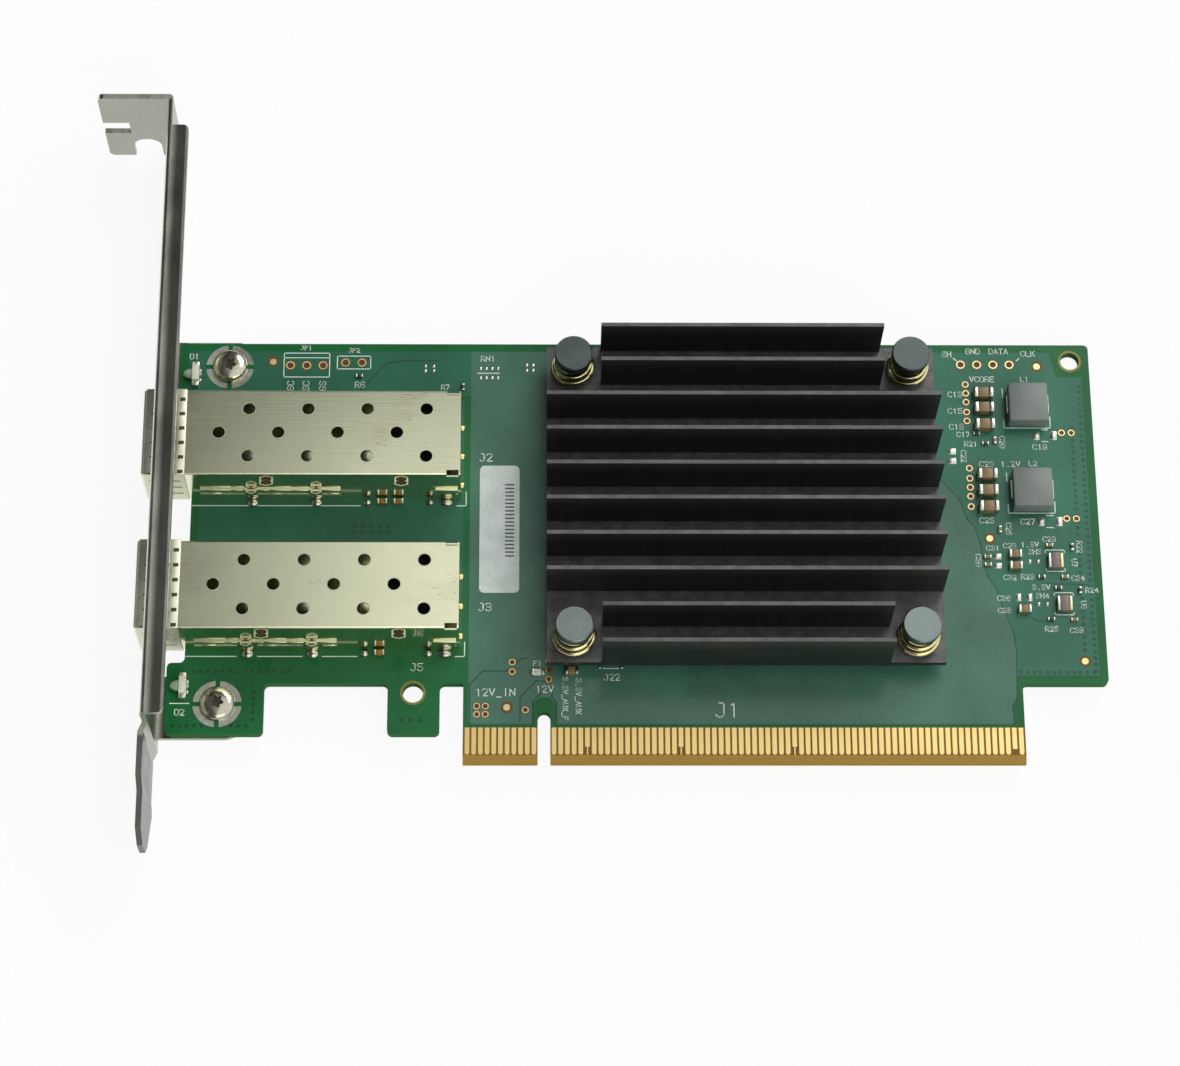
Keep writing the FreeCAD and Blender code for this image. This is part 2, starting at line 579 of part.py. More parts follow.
def make_bracket():
    """The folded bracket: plate, near lip, screw tab, tongue, ears, port windows and lamp holes."""
    body = new_body("slot_bracket")
    outer, inner, sheet = S["bracket_outer"], BRACKET_INNER, S["sheet"]
    near_edge, far_edge = S["bracket_near"], BRACKET_FAR

    sketch = new_sketch(body, "plate", "YZ", outer)
    draw_box(sketch, S["bracket_bottom"], far_edge, BRACKET_TOP, near_edge)
    pad(body, sketch, sheet)

    sketch = new_sketch(body, "lip", "XY", near_edge)
    draw_box(sketch, outer, S["bracket_bottom"], outer + S["lip_depth"], S["lip_top"])
    lip = pad(body, sketch, sheet, reverse=True)
    lip_end = outer + S["lip_depth"]
    free_corners = edges_where(lip, lambda edge, middle: runs_along(edge, Z) and near(middle.x, lip_end))
    lip = fillet(body, lip, free_corners, 0.9)
    bend = edges_where(lip, lambda edge, middle: runs_along(edge, Y) and near(middle.x, outer)
                       and near(middle.z, near_edge))
    fillet(body, lip, bend, sheet * 0.8)

    sketch = new_sketch(body, "tab", "XZ", -BRACKET_TOP)
    draw_box(sketch, outer - S["tab_reach"], far_edge, outer + sheet, near_edge)
    tab = pad(body, sketch, sheet)
    reach = outer - S["tab_reach"]
    ends = edges_where(tab, lambda edge, middle: runs_along(edge, Y) and near(middle.x, reach))
    tab = fillet(body, tab, ends, 1.0)
    fold = edges_where(tab, lambda edge, middle: runs_along(edge, Z) and near(middle.x, inner)
                       and near(middle.y, BRACKET_TOP))
    fillet(body, tab, fold, sheet * 0.8)

    notch_x = outer - S["screw_notch_offset"]
    notch_z = far_edge + S["screw_notch_radius"] + S["screw_notch_depth"]
    sketch = new_sketch(body, "tab_cuts", "XZ", -BRACKET_TOP)
    half_notch = S["screw_notch_radius"]
    draw_box(sketch, notch_x - half_notch, far_edge - 1, notch_x + half_notch, notch_z)
    slot_end, slot_start = outer - S["tab_reach"] + S["tab_slot_depth"], far_edge + S["tab_slot_start"]
    draw_box(sketch, outer - S["tab_reach"] - 1, slot_start, slot_end, slot_start + S["tab_slot_width"])
    pocket(body, sketch, sheet, reverse=True)
    sketch = new_sketch(body, "notch_round", "XZ", -BRACKET_TOP)
    draw_circle(sketch, notch_x, notch_z, S["screw_notch_radius"])
    pocket(body, sketch, sheet, reverse=True)

    tongue_far = far_edge
    lower, tip = S["bracket_bottom"], S["bracket_tip"]
    offset, straight = outer - S["joggle"], outer - S["joggle"] / 2
    sketch = new_sketch(body, "tongue", "XY", tongue_far)
    draw_polygon(sketch, (
        (outer, lower + 1), (outer, lower), (offset, lower - 1.4), (offset, lower - 8),
        (straight, lower - 10.5), (straight, tip), (straight + sheet, tip), (straight + sheet, lower - 10.5),
        (offset + sheet, lower - 8), (offset + sheet, lower - 1.4), (inner, lower), (inner, lower + 1),
    ))
    pad(body, sketch, S["tongue_width"])
    sketch = new_sketch(body, "tongue_taper", "YZ", offset - 1)
    tongue_near = tongue_far + S["tongue_width"]
    draw_polygon(sketch, (
        (tip - 1, tongue_far - 1), (lower - 9, tongue_far - 1), (lower - 9, tongue_far),
        (tip + 1.4, tongue_far + 5), (tip - 1, tongue_far + 8.5),
    ))
    draw_polygon(sketch, (
        (tip - 1, tongue_near + 1), (tip + 1.8, tongue_near + 1), (tip + 1.8, tongue_near),
        (tip - 1, tongue_near - 5.2),
    ))
    pocket(body, sketch, S["joggle"] + sheet + 2, reverse=True)

    for name, centre in SCREWS.items():
        sketch = new_sketch(body, f"{name}_ear", "XY", BOARD_BACK)
        half = Size(4.9)
        draw_box(sketch, outer + sheet / 2, centre - half, S["screw_x"] + S["ear_reach"], centre + half)
        ear = pad(body, sketch, sheet, reverse=True)
        reach = S["screw_x"] + S["ear_reach"]
        corners = edges_where(ear, lambda edge, middle: runs_along(edge, Z) and near(middle.x, reach)
                              and abs(middle.y - centre.value) < 6)
        fillet(body, ear, corners, 3.5)
    sketch = new_sketch(body, "ear_holes", "XY", BOARD_BACK)
    for centre in SCREWS.values():
        draw_circle(sketch, S["screw_x"], centre, S["screw_shank_radius"] + S["thread_clearance"])
    pocket(body, sketch, sheet)

    gap = S["collar_sheet"] + S["window_clearance"]
    sketch = new_sketch(body, "windows", "YZ", outer)
    for centre in PORTS.values():
        draw_box(sketch, centre - HALF_CAGE - gap, -gap, centre + HALF_CAGE + gap, S["cage_height"] + gap)
    for centre in LAMPS.values():
        draw_circle(sketch, centre, S["lamp_hole_z"], S["lamp_hole_radius"])
    pocket(body, sketch, sheet, reverse=True)


def make_screw(name, centre):
    """A pan-head machine screw with a six-lobed recess."""
    body = new_body(f"bracket_screw_{name}", S["screw_x"], centre)
    head, shank = S["screw_head_radius"], S["screw_shank_radius"]
    crown = S["screw_head_height"]
    sketch = new_sketch(body, "profile", "XZ")
    draw_polygon(sketch, ((0, -S["screw_length"]), (shank - 0.3, -S["screw_length"]),
                          (shank, -S["screw_length"] + 0.3), (shank, 0), (head, 0), (head, crown * 0.45),
                          (head * 0.86, crown * 0.8), (head * 0.5, crown), (0, crown)))
    revolve(body, sketch)
    sketch = new_sketch(body, "recess", "XY", crown)
    draw_star(sketch, S["recess_radius"], S["recess_radius"] * 0.72, 6)
    pocket(body, sketch, crown * 0.6)


# ---------------------------------------------------------------- ports

def make_cage(name, centre):
    """The cage shell: folded top, sides and rear, with vents, corner notches, latch bosses and pins."""
    body = new_body(f"port_cage_{name}", 0, centre)
    front, rear, half, wall = S["cage_front"], CAGE_REAR, HALF_CAGE, S["cage_sheet"]
    top = S["cage_height"]
    sketch = new_sketch(body, "block", "XY", wall)
    draw_box(sketch, front, -half, rear, half)
    pad(body, sketch, top - wall)
    sketch = new_sketch(body, "inside", "XY", wall)
    draw_box(sketch, front - 1, wall - half, rear - wall, half - wall)
    shell = pocket(body, sketch, top - wall * 2, reverse=True)
    rims = edges_where(shell, lambda edge, middle: near(middle.z, top) and near(abs(middle.y), half))
    fillet(body, shell, rims, wall)

    sketch = new_sketch(body, "vents", "XY", top)
    middle_x = S["first_vent_x"]
    draw_circle(sketch, middle_x, 0, S["vent_radius"])
    draw_circle(sketch, middle_x + S["vent_pitch"] / 2, S["vent_row"], S["vent_radius"])
    draw_circle(sketch, middle_x + S["vent_pitch"] / 2, -S["vent_row"], S["vent_radius"])
    vents = pocket(body, sketch, wall * 2)
    pattern(body, vents, "X", S["vent_pitch"], 4)

    sketch = new_sketch(body, "corner_notches", "XY", top)
    for side in (-1, 1):
        draw_box(sketch, rear - 2.1, side * half - 0.75, rear - wall, side * half + 0.75)
    pocket(body, sketch, Size(0.9))

    for name, offset, reverse in (("latches", half, True), ("far_latches", -half, False)):
        sketch = new_sketch(body, name, "XZ", offset)
        for x in LATCH_PLACES:
            draw_boss(sketch, Size(x), S["latch_z"], S["latch_width"] / 2, S["latch_height"] / 2)
        pad(body, sketch, S["latch_depth"], reverse=not reverse)

    drop = S["board_thickness"] + S["pin_drop"]
    sketch = new_sketch(body, "pins", "XY", wall)
    for x in SIDE_PIN_PLACES:
        for side in (-1, 1):
            draw_centred_box(sketch, Size(x), side * (half - wall / 2), S["pin_width"], wall)
    for y in REAR_PIN_PLACES:
        draw_centred_box(sketch, rear - wall / 2, Size(y), wall, S["pin_width"])
    pad(body, sketch, drop + wall, reverse=True)


def make_cage_floor(name, centre):
    """The floor sheet of a cage, with upturned flanges outside the shell and notches for its pins."""
    body = new_body(f"cage_floor_{name}", 0, centre)
    front, rear, half, wall = S["cage_front"], CAGE_REAR, HALF_CAGE, S["cage_sheet"]
    sketch = new_sketch(body, "sheet", "XY")
    draw_box(sketch, front, -half, rear, half)
    pad(body, sketch, wall)
    sketch = new_sketch(body, "flanges", "XY")
    for side in (-1, 1):
        for start, end in FLANGES:
            middle, length = Size((start + end) / 2), Size(end - start)
            draw_centred_box(sketch, middle, side * (half + wall / 2), length, wall)
    pad(body, sketch, S["flange_height"])
    outside = half + wall
    for name, offset, reverse in (("bumps", outside, False), ("far_bumps", -outside, True)):
        sketch = new_sketch(body, name, "XZ", offset)
        for x in FLANGE_BUMPS:
            draw_boss(sketch, Size(x), S["flange_height"] - 0.5, Size(1.1), Size(0.8))
        pad(body, sketch, wall + 0.1, reverse)
    sketch = new_sketch(body, "slits", "XZ", outside + 1)
    for x in FLANGE_SLITS:
        draw_centred_box(sketch, Size(x), S["flange_slit_z"], Size(2.0), Size(0.5))
    pocket(body, sketch, outside * 2 + 2)
    sketch = new_sketch(body, "pin_notches", "XY")
    for x in SIDE_PIN_PLACES:
        for side in (-1, 1):
            draw_centred_box(sketch, Size(x), side * (half - wall / 2), S["pin_width"] + 0.2, wall * 1.4)
    for y in REAR_PIN_PLACES:
        draw_centred_box(sketch, rear - wall / 2, Size(y), wall * 1.4, S["pin_width"] + 0.2)
    pocket(body, sketch, wall, reverse=True)


def make_collar(name, centre):
    """The spring-finger collar that fills the gap between a cage's mouth and the bracket window."""
    body = new_body(f"spring_collar_{name}", 0, centre)
    start, end = S["cage_front"] + 0.3, S["cage_front"] + 0.3 + S["collar_length"]
    half, wall, top = HALF_CAGE, S["collar_sheet"], S["cage_height"]
    sketch = new_sketch(body, "ring", "YZ", start)
    draw_box(sketch, -half - wall, -wall, half + wall, top + wall)
    draw_box(sketch, -half, 0, half, top)
    pad(body, sketch, S["collar_length"])
    length = S["collar_length"] - 1.4
    sketch = new_sketch(body, "top_slots", "XY", top + wall)
    for index in range(5):
        across = S["collar_pitch"] * (index - 2)
        draw_centred_box(sketch, (start + end) / 2, across, length, S["collar_slot"])
    pocket(body, sketch, top + wall * 2)
    sketch = new_sketch(body, "side_slots", "XZ", -half - wall)
    for index in range(3):
        draw_centred_box(sketch, (start + end) / 2, top / 2 + S["collar_pitch"] * (index - 1), length,
                         S["collar_slot"])
    pocket(body, sketch, half * 2 + wall * 2, reverse=True)


def make_port_connector(name, centre):
    """The moulded connector at the back of a cage, with its card slot, and its two rows of contacts."""
    body = new_body(f"port_connector_{name}", 0, centre)
    front, rear = S["housing_front"], S["housing_front"] + S["housing_length"]
    half = S["housing_width"] / 2
    sketch = new_sketch(body, "block", "XY", S["cage_sheet"])
    draw_box(sketch, front, -half, rear, half)
    block = pad(body, sketch, S["housing_height"] - S["cage_sheet"])
    edges = edges_where(block, lambda edge, middle: near(middle.z, S["housing_height"]))
    chamfer(body, block, edges, 0.4)
    sketch = new_sketch(body, "card_slot", "YZ", front)
    slot_top = S["card_slot_bottom"] + S["card_slot_height"]
    draw_box(sketch, -S["card_slot_width"] / 2, S["card_slot_bottom"], S["card_slot_width"] / 2, slot_top)
    pocket(body, sketch, S["card_slot_depth"], reverse=True)

    body = new_body(f"port_contacts_{name}", 0, centre)
    back_of_slot = front + S["card_slot_depth"]
    sketch = new_sketch(body, "beams", "XY", S["card_slot_bottom"])
    for index in range(10):
        y = S["tail_pitch"] * (index - 4.5)
        draw_centred_box(sketch, back_of_slot - 2.4, y, Size(4.8), S["tail_width"])
    pad(body, sketch, 0.25)
    sketch = new_sketch(body, "upper_beams", "XY", slot_top)
    for index in range(10):
        y = S["tail_pitch"] * (index - 4.5)
        draw_centred_box(sketch, back_of_slot - 2.4, y, Size(4.8), S["tail_width"])
    pad(body, sketch, 0.25, reverse=True)


# ---------------------------------------------------------------- controller and heat sink

def make_controller():
    """The controller package, its lid and the thermal pad under the heat sink."""
    lid_height = S["sink_bottom"] - S["pad_thickness"] - S["package_thickness"]
    lid_face = S["package_thickness"] + lid_height
    for label, bottom, width, height in (
        ("controller_package", Size(0), S["package_width"], S["package_thickness"]),
        ("controller_lid", S["package_thickness"], S["lid_width"], lid_height),
        ("thermal_pad", lid_face, S["lid_width"] - 1, S["pad_thickness"]),
    ):
        body = new_body(label, CHIP_X, CHIP_Y)
        sketch = new_sketch(body, "outline", "XY", bottom)
        draw_centred_box(sketch, Size(0), Size(0), width, width)
        pad(body, sketch, height)


def make_heat_sink():
    """The heat sink: base, ten fins with the outer four cut short at the corners, and the pin holes."""
    body = new_body("heat_sink")
    left, front = S["sink_left"], S["sink_front"]
    right, back = left + S["sink_width"], front + SINK_DEPTH
    sketch = new_sketch(body, "base", "XY", S["sink_bottom"])
    draw_box(sketch, left, front, right, back)
    pad(body, sketch, S["sink_base"])
    sketch = new_sketch(body, "fin", "XY", SINK_TOP)
    draw_box(sketch, left, front, right, front + S["fin_thickness"])
    fin = pad(body, sketch, S["fin_height"])
    pattern(body, fin, "Y", S["fin_pitch"], S["fin_count"])
    cut = S["corner_cut"]
    span = S["fin_pitch"] * 1.5
    sketch = new_sketch(body, "corners", "XY", SINK_TOP)
    for low, high in ((front - 1, front + span), (back - span, back + 1)):
        draw_box(sketch, left - 1, low, left + cut, high)
        draw_box(sketch, right - cut, low, right + 1, high)
    pocket(body, sketch, S["fin_height"], reverse=True)
    sketch = new_sketch(body, "pin_holes", "XY", SINK_TOP)
    for x, y in PUSH_PINS:
        draw_circle(sketch, x, y, S["push_pin_radius"] + S["push_pin_clearance"] * 1.5)
    pocket(body, sketch, S["sink_base"])


def make_push_pin(number, x, y):
    """A push pin with a flat head, a shank through heat sink and board, and a split barb below."""
    body = new_body(f"retaining_pin_{number}", x, y)
    shank, head, top = S["push_pin_radius"], S["push_pin_head_radius"], S["push_pin_top"]
    under = top - S["push_pin_head_height"]
    tip = BOARD_BACK - S["push_pin_tip"]
    sketch = new_sketch(body, "profile", "XZ")
    draw_polygon(sketch, (
        (0, tip), (shank * 0.7, tip), (shank * 1.3, BOARD_BACK - 0.7), (shank * 1.3, BOARD_BACK),
        (shank, BOARD_BACK), (shank, under), (head, under), (head, top - 0.2), (head - 0.2, top), (0, top),
    ))
    revolve(body, sketch)
    sketch = new_sketch(body, "split", "YZ", -shank * 2)
    draw_box(sketch, -0.35, tip - 1, 0.35, BOARD_BACK - 0.3)
    pocket(body, sketch, shank * 4, reverse=True)


def make_spring(number, x, y):
    """The conical spring between a pin's head and the heat sink, its thin wire given a square section."""
    body = new_body(f"pin_spring_{number}", x, y, SINK_TOP)
    wire = S["spring_wire"] / 2
    height = S["push_pin_top"] - S["push_pin_head_height"] - SINK_TOP - wire * 2
    sketch = new_sketch(body, "wire", "XZ")
    middle = S["spring_bottom_radius"]
    draw_polygon(sketch, ((middle - wire, wire), (middle, 0), (middle + wire, wire), (middle, wire * 2)))
    coil = body.newObject("PartDesign::AdditiveHelix", f"{body.Name}_coil")
    coil.Profile = sketch
    coil.ReferenceAxis = (sketch, ["V_Axis"])
    coil.Mode = "height-turns-growth"
    coil.Height = height.value
    coil.setExpression("Height", height.formula)
    coil.Turns = S["spring_turns"].value
    coil.setExpression("Turns", S["spring_turns"].formula)
    top_radius = S["push_pin_radius"] + S["spring_play"] + wire
    growth = (top_radius - S["spring_bottom_radius"]) / S["spring_turns"]
    coil.Growth = growth.value
    coil.setExpression("Growth", growth.formula)
    DOC.recompute()


# ---------------------------------------------------------------- power supply and small parts

def make_inductor(name, centre):
    """A moulded power inductor with bevelled edges and its two wrapped end terminals."""
    half, width = S["inductor_width"] / 2, S["inductor_width"]
    wall = S["terminal_sheet"]
    body = new_body(f"power_inductor_{name}", S["inductor_x"], centre)
    sketch = new_sketch(body, "block", "XY", wall)
    draw_centred_box(sketch, Size(0), Size(0), width - wall * 2, width)
    block = pad(body, sketch, S["inductor_height"] - wall)
    top = S["inductor_height"]
    edges = edges_where(block, lambda edge, middle: near(middle.z, top) or runs_along(edge, Z))
    chamfer(body, block, edges, 0.4)

    body = new_body(f"inductor_terminals_{name}", S["inductor_x"], centre)
    sketch = new_sketch(body, "profile", "XZ", -S["terminal_width"] / 2)
    rise, foot = S["inductor_height"] * 0.6, Size(1.5)
    for side in (-1, 1):
        outside, inside = side * half, side * (half - wall)
        draw_polygon(sketch, ((outside, 0), (outside, rise), (inside, rise), (inside, wall),
                              (side * (half - foot), wall), (side * (half - foot), 0)))
    pad(body, sketch, S["terminal_width"])


def make_chips(label, chips, kind, bottom=Size(0), x=0, y=0):
    """A group of equal chip parts, each turned along X or Y."""
    body = new_body(label, x, y)
    length, width, height = S[f"{kind}_length"], S[f"{kind}_width"], S[f"{kind}_height"]
    sketch = new_sketch(body, "outlines", "XY", bottom)
    for chip in chips:
        along, across = (width, length) if chip.turned else (length, width)
        draw_centred_box(sketch, Size.of(chip.x), Size.of(chip.y), along, across)
    pad(body, sketch, height, reverse=bottom.value < 0)


def make_lamp(name, centre):
    """A side-looking status lamp: white body with a domed lens that faces the bracket."""
    body = new_body(f"status_lamp_{name}", S["lamp_x"], centre)
    half = S["lamp_width"] / 2
    sketch = new_sketch(body, "block", "XY")
    draw_box(sketch, 0, -half, S["lamp_depth"], half)
    pad(body, sketch, S["lamp_height"])
    sketch = new_sketch(body, "lens", "YZ")
    draw_circle(sketch, 0, S["lamp_height"] / 2, S["lamp_height"] * 0.42)
    lens = pad(body, sketch, S["lamp_depth"], reverse=True)
    rim = edges_where(lens, lambda edge, middle: near(middle.x, -S["lamp_depth"]))
    fillet(body, lens, rim, S["lamp_height"] * 0.3)


def make_memory():
    """The flash memory on the back of the board, with its two rows of leads."""
    body = new_body("flash_memory", S["memory_x"], S["memory_y"])
    sketch = new_sketch(body, "block", "XY", BOARD_BACK - 0.15)
    draw_centred_box(sketch, Size(0), Size(0), S["memory_length"], S["memory_width"])
    block = pad(body, sketch, S["memory_height"], reverse=True)
    edges = edges_where(block, lambda edge, middle: near(middle.z, BOARD_BACK - 0.15 - S["memory_height"]))
    chamfer(body, block, edges, 0.25)
    half = S["memory_width"] / 2
    middle = BOARD_BACK - 0.15 - S["memory_height"] / 2
    sketch = new_sketch(body, "leads", "YZ", -2.1)
    for side in (-1, 1):
        draw_polygon(sketch, (
            (side * (half - 0.1), middle), (side * (half + 0.5), middle),
            (side * (half + 0.5), BOARD_BACK - 0.2), (side * (half + 1.05), BOARD_BACK - 0.2),
            (side * (half + 1.05), BOARD_BACK), (side * (half + 0.3), BOARD_BACK),
            (side * (half + 0.3), middle + 0.2), (side * (half - 0.1), middle + 0.2),
        ))
    lead = pad(body, sketch, 0.4)
    pattern(body, lead, "X", 1.27, 4)


def make_label():
    """The blank white sticker beside the heat sink."""
    body = new_body("blank_sticker", S["label_left"], S["label_bottom"])
    sketch = new_sketch(body, "outline", "XY")
    draw_box(sketch, 0, 0, S["label_width"], S["label_height"])
    sheet = pad(body, sketch, S["label_thickness"])
    fillet(body, sheet, edges_where(sheet, lambda edge, middle: runs_along(edge, Z)), 0.8)


def main():
    """Build every sub-part."""
    make_board()
    make_edge_contacts("edge_contacts_front", Size(0), reverse=False)
    make_edge_contacts("edge_contacts_back", BOARD_BACK, reverse=True)
    make_bracket()
    for name, centre in SCREWS.items():
        make_screw(name, centre)
    for name, centre in PORTS.items():
        make_cage(name, centre)
        make_cage_floor(name, centre)
        make_collar(name, centre)
        make_port_connector(name, centre)
    make_controller()
    make_heat_sink()
    for number, (x, y) in enumerate(PUSH_PINS, start=1):
        make_push_pin(number, x, y)
        make_spring(number, x, y)
    for name, centre in INDUCTORS.items():
        make_inductor(name, centre)
    for name, chip in MODULES.items():
        make_chips(f"regulator_module_{name}", (chip,), "module")
    for name, centre in LAMPS.items():
        make_lamp(name, centre)
    make_chips("output_capacitors", LARGE_CHIPS, "large_chip")
    make_chips("medium_capacitors", MEDIUM_CHIPS, "medium_chip")
    make_chips("port_capacitors", PORT_CHIPS, "port_chip")
    make_chips("small_passives", SMALL_CHIPS, "small_chip")
    make_chips("back_capacitors", BACK_CHIPS, "small_chip", BOARD_BACK, CHIP_X, CHIP_Y)
    make_chips("supply_fuse", (Chip(-0.95, 14.3, False),), "fuse")
    make_memory()
    make_label()


main()
DOC.recompute()
for item in DOC.Objects:
    if {"Invalid", "Error"} & set(item.State):
        raise RuntimeError(f"{item.Name} failed: {item.State}")
os.makedirs("parts", exist_ok=True)
for node in NODES:
    if node.Shape.isNull() or not node.Shape.isValid():
        raise RuntimeError(f"{node.Label} has no valid shape")
    node.Shape.exportStep(f"parts/{node.Label}.step")
    print(node.Label, len(node.Shape.Solids), round(node.Shape.Volume, 2))
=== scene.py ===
"""Visual model of a network interface card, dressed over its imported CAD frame.

Lengths are in millimetres in the classes below, except in the studio, and become metres when a mesh is
finished. The frame's origin lies on the component face, at the bottom edge of the edge connector, under the
centre of its key notch.
"""
import logging
import math
from dataclasses import dataclass
from enum import Enum
from typing import Iterable, Sequence

import bmesh
import bpy
from mathutils import Matrix, Vector


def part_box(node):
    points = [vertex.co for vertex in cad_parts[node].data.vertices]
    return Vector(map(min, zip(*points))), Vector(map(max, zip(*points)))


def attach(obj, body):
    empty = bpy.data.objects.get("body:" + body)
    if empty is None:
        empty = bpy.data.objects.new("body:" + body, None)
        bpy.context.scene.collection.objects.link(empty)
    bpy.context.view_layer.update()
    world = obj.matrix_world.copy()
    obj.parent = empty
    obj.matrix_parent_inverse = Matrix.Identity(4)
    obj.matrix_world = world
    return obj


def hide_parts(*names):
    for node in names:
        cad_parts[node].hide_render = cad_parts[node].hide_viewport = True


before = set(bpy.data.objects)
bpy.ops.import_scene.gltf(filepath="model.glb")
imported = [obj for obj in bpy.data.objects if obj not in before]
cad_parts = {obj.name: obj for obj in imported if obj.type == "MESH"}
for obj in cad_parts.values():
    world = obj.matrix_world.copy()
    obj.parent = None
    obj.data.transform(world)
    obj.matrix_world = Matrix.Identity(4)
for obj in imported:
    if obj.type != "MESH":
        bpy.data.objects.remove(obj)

MM = 0.001
SMOOTH_ANGLE = math.radians(38)
PORTS = ("upper", "lower")
NUMBER = "NodeSocketFloat"
Colour = tuple[float, float, float]
Point = tuple[float, float]
Place = tuple[float, float, float]
log = logging.getLogger("network_card")


class Turn(Enum):
    """Direction in which a printed word reads, in degrees about Z."""

    ALONG = 0
    UP = 90
    DOWN = -90


class Side(Enum):
    """Face of the board, as the sign of its outward Z."""

    FRONT = 1
    BACK = -1


def linear(red: float, green: float, blue: float) -> Colour:
    """Turn a display colour, 0 to 255 a channel, into scene-linear values.

    Args:
        red: Red channel.
        green: Green channel.
        blue: Blue channel.

    Returns:
        The linear colour.
    """
    def channel(value: float) -> float:
        """Return one channel made linear."""
        value /= 255
        return value / 12.92 if value <= 0.04045 else ((value + 0.055) / 1.055) ** 2.4
    return channel(red), channel(green), channel(blue)


def tinted(colour: Colour, factor: float) -> Colour:
    """Return a colour times a factor, held to 1 a channel."""
    return tuple(min(part * factor, 1.0) for part in colour)


def node_box(name: str) -> tuple[Vector, Vector]:
    """Return the lowest and highest corner of a CAD node, in millimetres."""
    low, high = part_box(name)
    return Vector(low) / MM, Vector(high) / MM


def node_centre(name: str) -> Point:
    """Return X and Y of the middle of a CAD node, in millimetres."""
    low, high = node_box(name)
    return (low.x + high.x) / 2, (low.y + high.y) / 2


def node_islands(name: str) -> list[tuple[Vector, Vector]]:
    """Find the box of each separate solid of a CAD node.

    Args:
        name: CAD node name.

    Returns:
        Lowest and highest corner of each solid, in millimetres.
    """
    mesh = bmesh.new()
    mesh.from_mesh(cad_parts[name].data)
    bmesh.ops.remove_doubles(mesh, verts=mesh.verts, dist=1e-6)
    waiting = set(mesh.verts)
    boxes = []
    while waiting:
        island, edge = set(), {waiting.pop()}
        while edge:
            island |= edge
            edge = {e.other_vert(v) for v in edge for e in v.link_edges} - island
        waiting -= island
        spots = [v.co / MM for v in island]
        boxes.append((Vector(min(p[i] for p in spots) for i in range(3)),
                      Vector(max(p[i] for p in spots) for i in range(3))))
    mesh.free()
    return sorted(boxes, key=lambda box: (round(box[0].x, 2), round(box[0].y, 2)))


# ---------------------------------------------------------------- shader building


class Shader:
    """A material's or node group's tree, with short calls for adding and joining nodes."""

    def __init__(self, tree: bpy.types.NodeTree) -> None:
        """Hold the tree."""
        self.tree = tree

    def add(self, kind: str, values: dict | None = None, **settings: object) -> bpy.types.Node:
        """Add a node.

        Args:
            kind: Blender's node type.
            values: Input name or index to a value or an output socket.
            settings: Properties of the node.

        Returns:
            The new node.
        """
        node = self.tree.nodes.new(kind)
        for key, value in settings.items():
            setattr(node, key, value)
        for key, value in (values or {}).items():
            self.feed(node.inputs[key], value)
        return node

    def feed(self, socket: bpy.types.NodeSocket, value: object) -> None:
        """Link or set a socket.

        Args:
            socket: The input.
            value: An output socket, a number or a tuple.
        """
        if isinstance(value, bpy.types.NodeSocket):
            self.tree.links.new(value, socket)
        elif isinstance(value, tuple) and socket.type == "RGBA" and len(value) == 3:
            socket.default_value = (*value, 1.0)
        else:
            socket.default_value = value

    def place(self, scale: tuple[float, float, float] = (1.0, 1.0, 1.0)) -> bpy.types.NodeSocket:
        """Return object coordinates in millimetres, times a scale.

        Args:
            scale: Factor for each axis.

        Returns:
            The vector output.
        """
        coordinates = self.add("ShaderNodeTexCoord")
        mapping = self.add("ShaderNodeMapping", {"Vector": coordinates.outputs["Object"]})
        mapping.inputs["Scale"].default_value = tuple(1 / MM * part for part in scale)
        return mapping.outputs["Vector"]

    def math(self, operation: str, first: object, second: object = 0.0) -> bpy.types.NodeSocket:
        """Return the result of a math node."""
        return self.add("ShaderNodeMath", {0: first, 1: second}, operation=operation).outputs[0]

    def ramp(self, value: object, low: float, high: float, to_low: float = 0.0,
             to_high: float = 1.0) -> bpy.types.NodeSocket:
        """Map a value smoothly from one range to another.

        Args:
            value: The input.
            low: Input that gives to_low.
            high: Input that gives to_high.
            to_low: Output at low.
            to_high: Output at high.

        Returns:
            The mapped value.
        """
        values = {"Value": value, "From Min": low, "From Max": high, "To Min": to_low, "To Max": to_high}
        return self.add("ShaderNodeMapRange", values, interpolation_type="SMOOTHSTEP").outputs["Result"]

    def mix(self, factor: object, first: object, second: object) -> bpy.types.NodeSocket:
        """Return a colour between two colours."""
        node = self.add("ShaderNodeMix", data_type="RGBA")
        self.feed(node.inputs[0], factor)
        self.feed(node.inputs[6], first)
        self.feed(node.inputs[7], second)
        return node.outputs[2]

    def split(self, vector: object) -> bpy.types.NodeOutputs:
        """Return the three parts of a vector."""
        return self.add("ShaderNodeSeparateXYZ", {0: vector}).outputs

    def facing(self) -> bpy.types.NodeOutputs:
        """Return the three parts of the surface's normal."""
        return self.split(self.add("ShaderNodeNewGeometry").outputs["Normal"])

    def surface(self, colour: object, roughness: object, height: object, strength: float, depth: float) -> None:
        """Feed the material's Principled node.

        Args:
            colour: Base colour.
            roughness: Roughness.
            height: Height that bumps the normal.
            strength: Strength of the bump.
            depth: Depth of the bump in millimetres.
        """
        bump = self.add("ShaderNodeBump", {"Height": height, "Strength": strength, "Distance": depth * MM})
        principled = self.tree.nodes["Principled BSDF"].inputs
        for label, value in (("Base Color", colour), ("Roughness", roughness), ("Normal", bump.outputs[0])):
            self.feed(principled[label], value)

    def noise(self, vector: object, scale: object, detail: float = 3.0,
              rough: float = 0.5) -> bpy.types.NodeSocket:
        """Return the value of a noise texture."""
        return self.add("ShaderNodeTexNoise", {"Vector": vector, "Scale": scale, "Detail": detail,
                                               "Roughness": rough}).outputs[0]


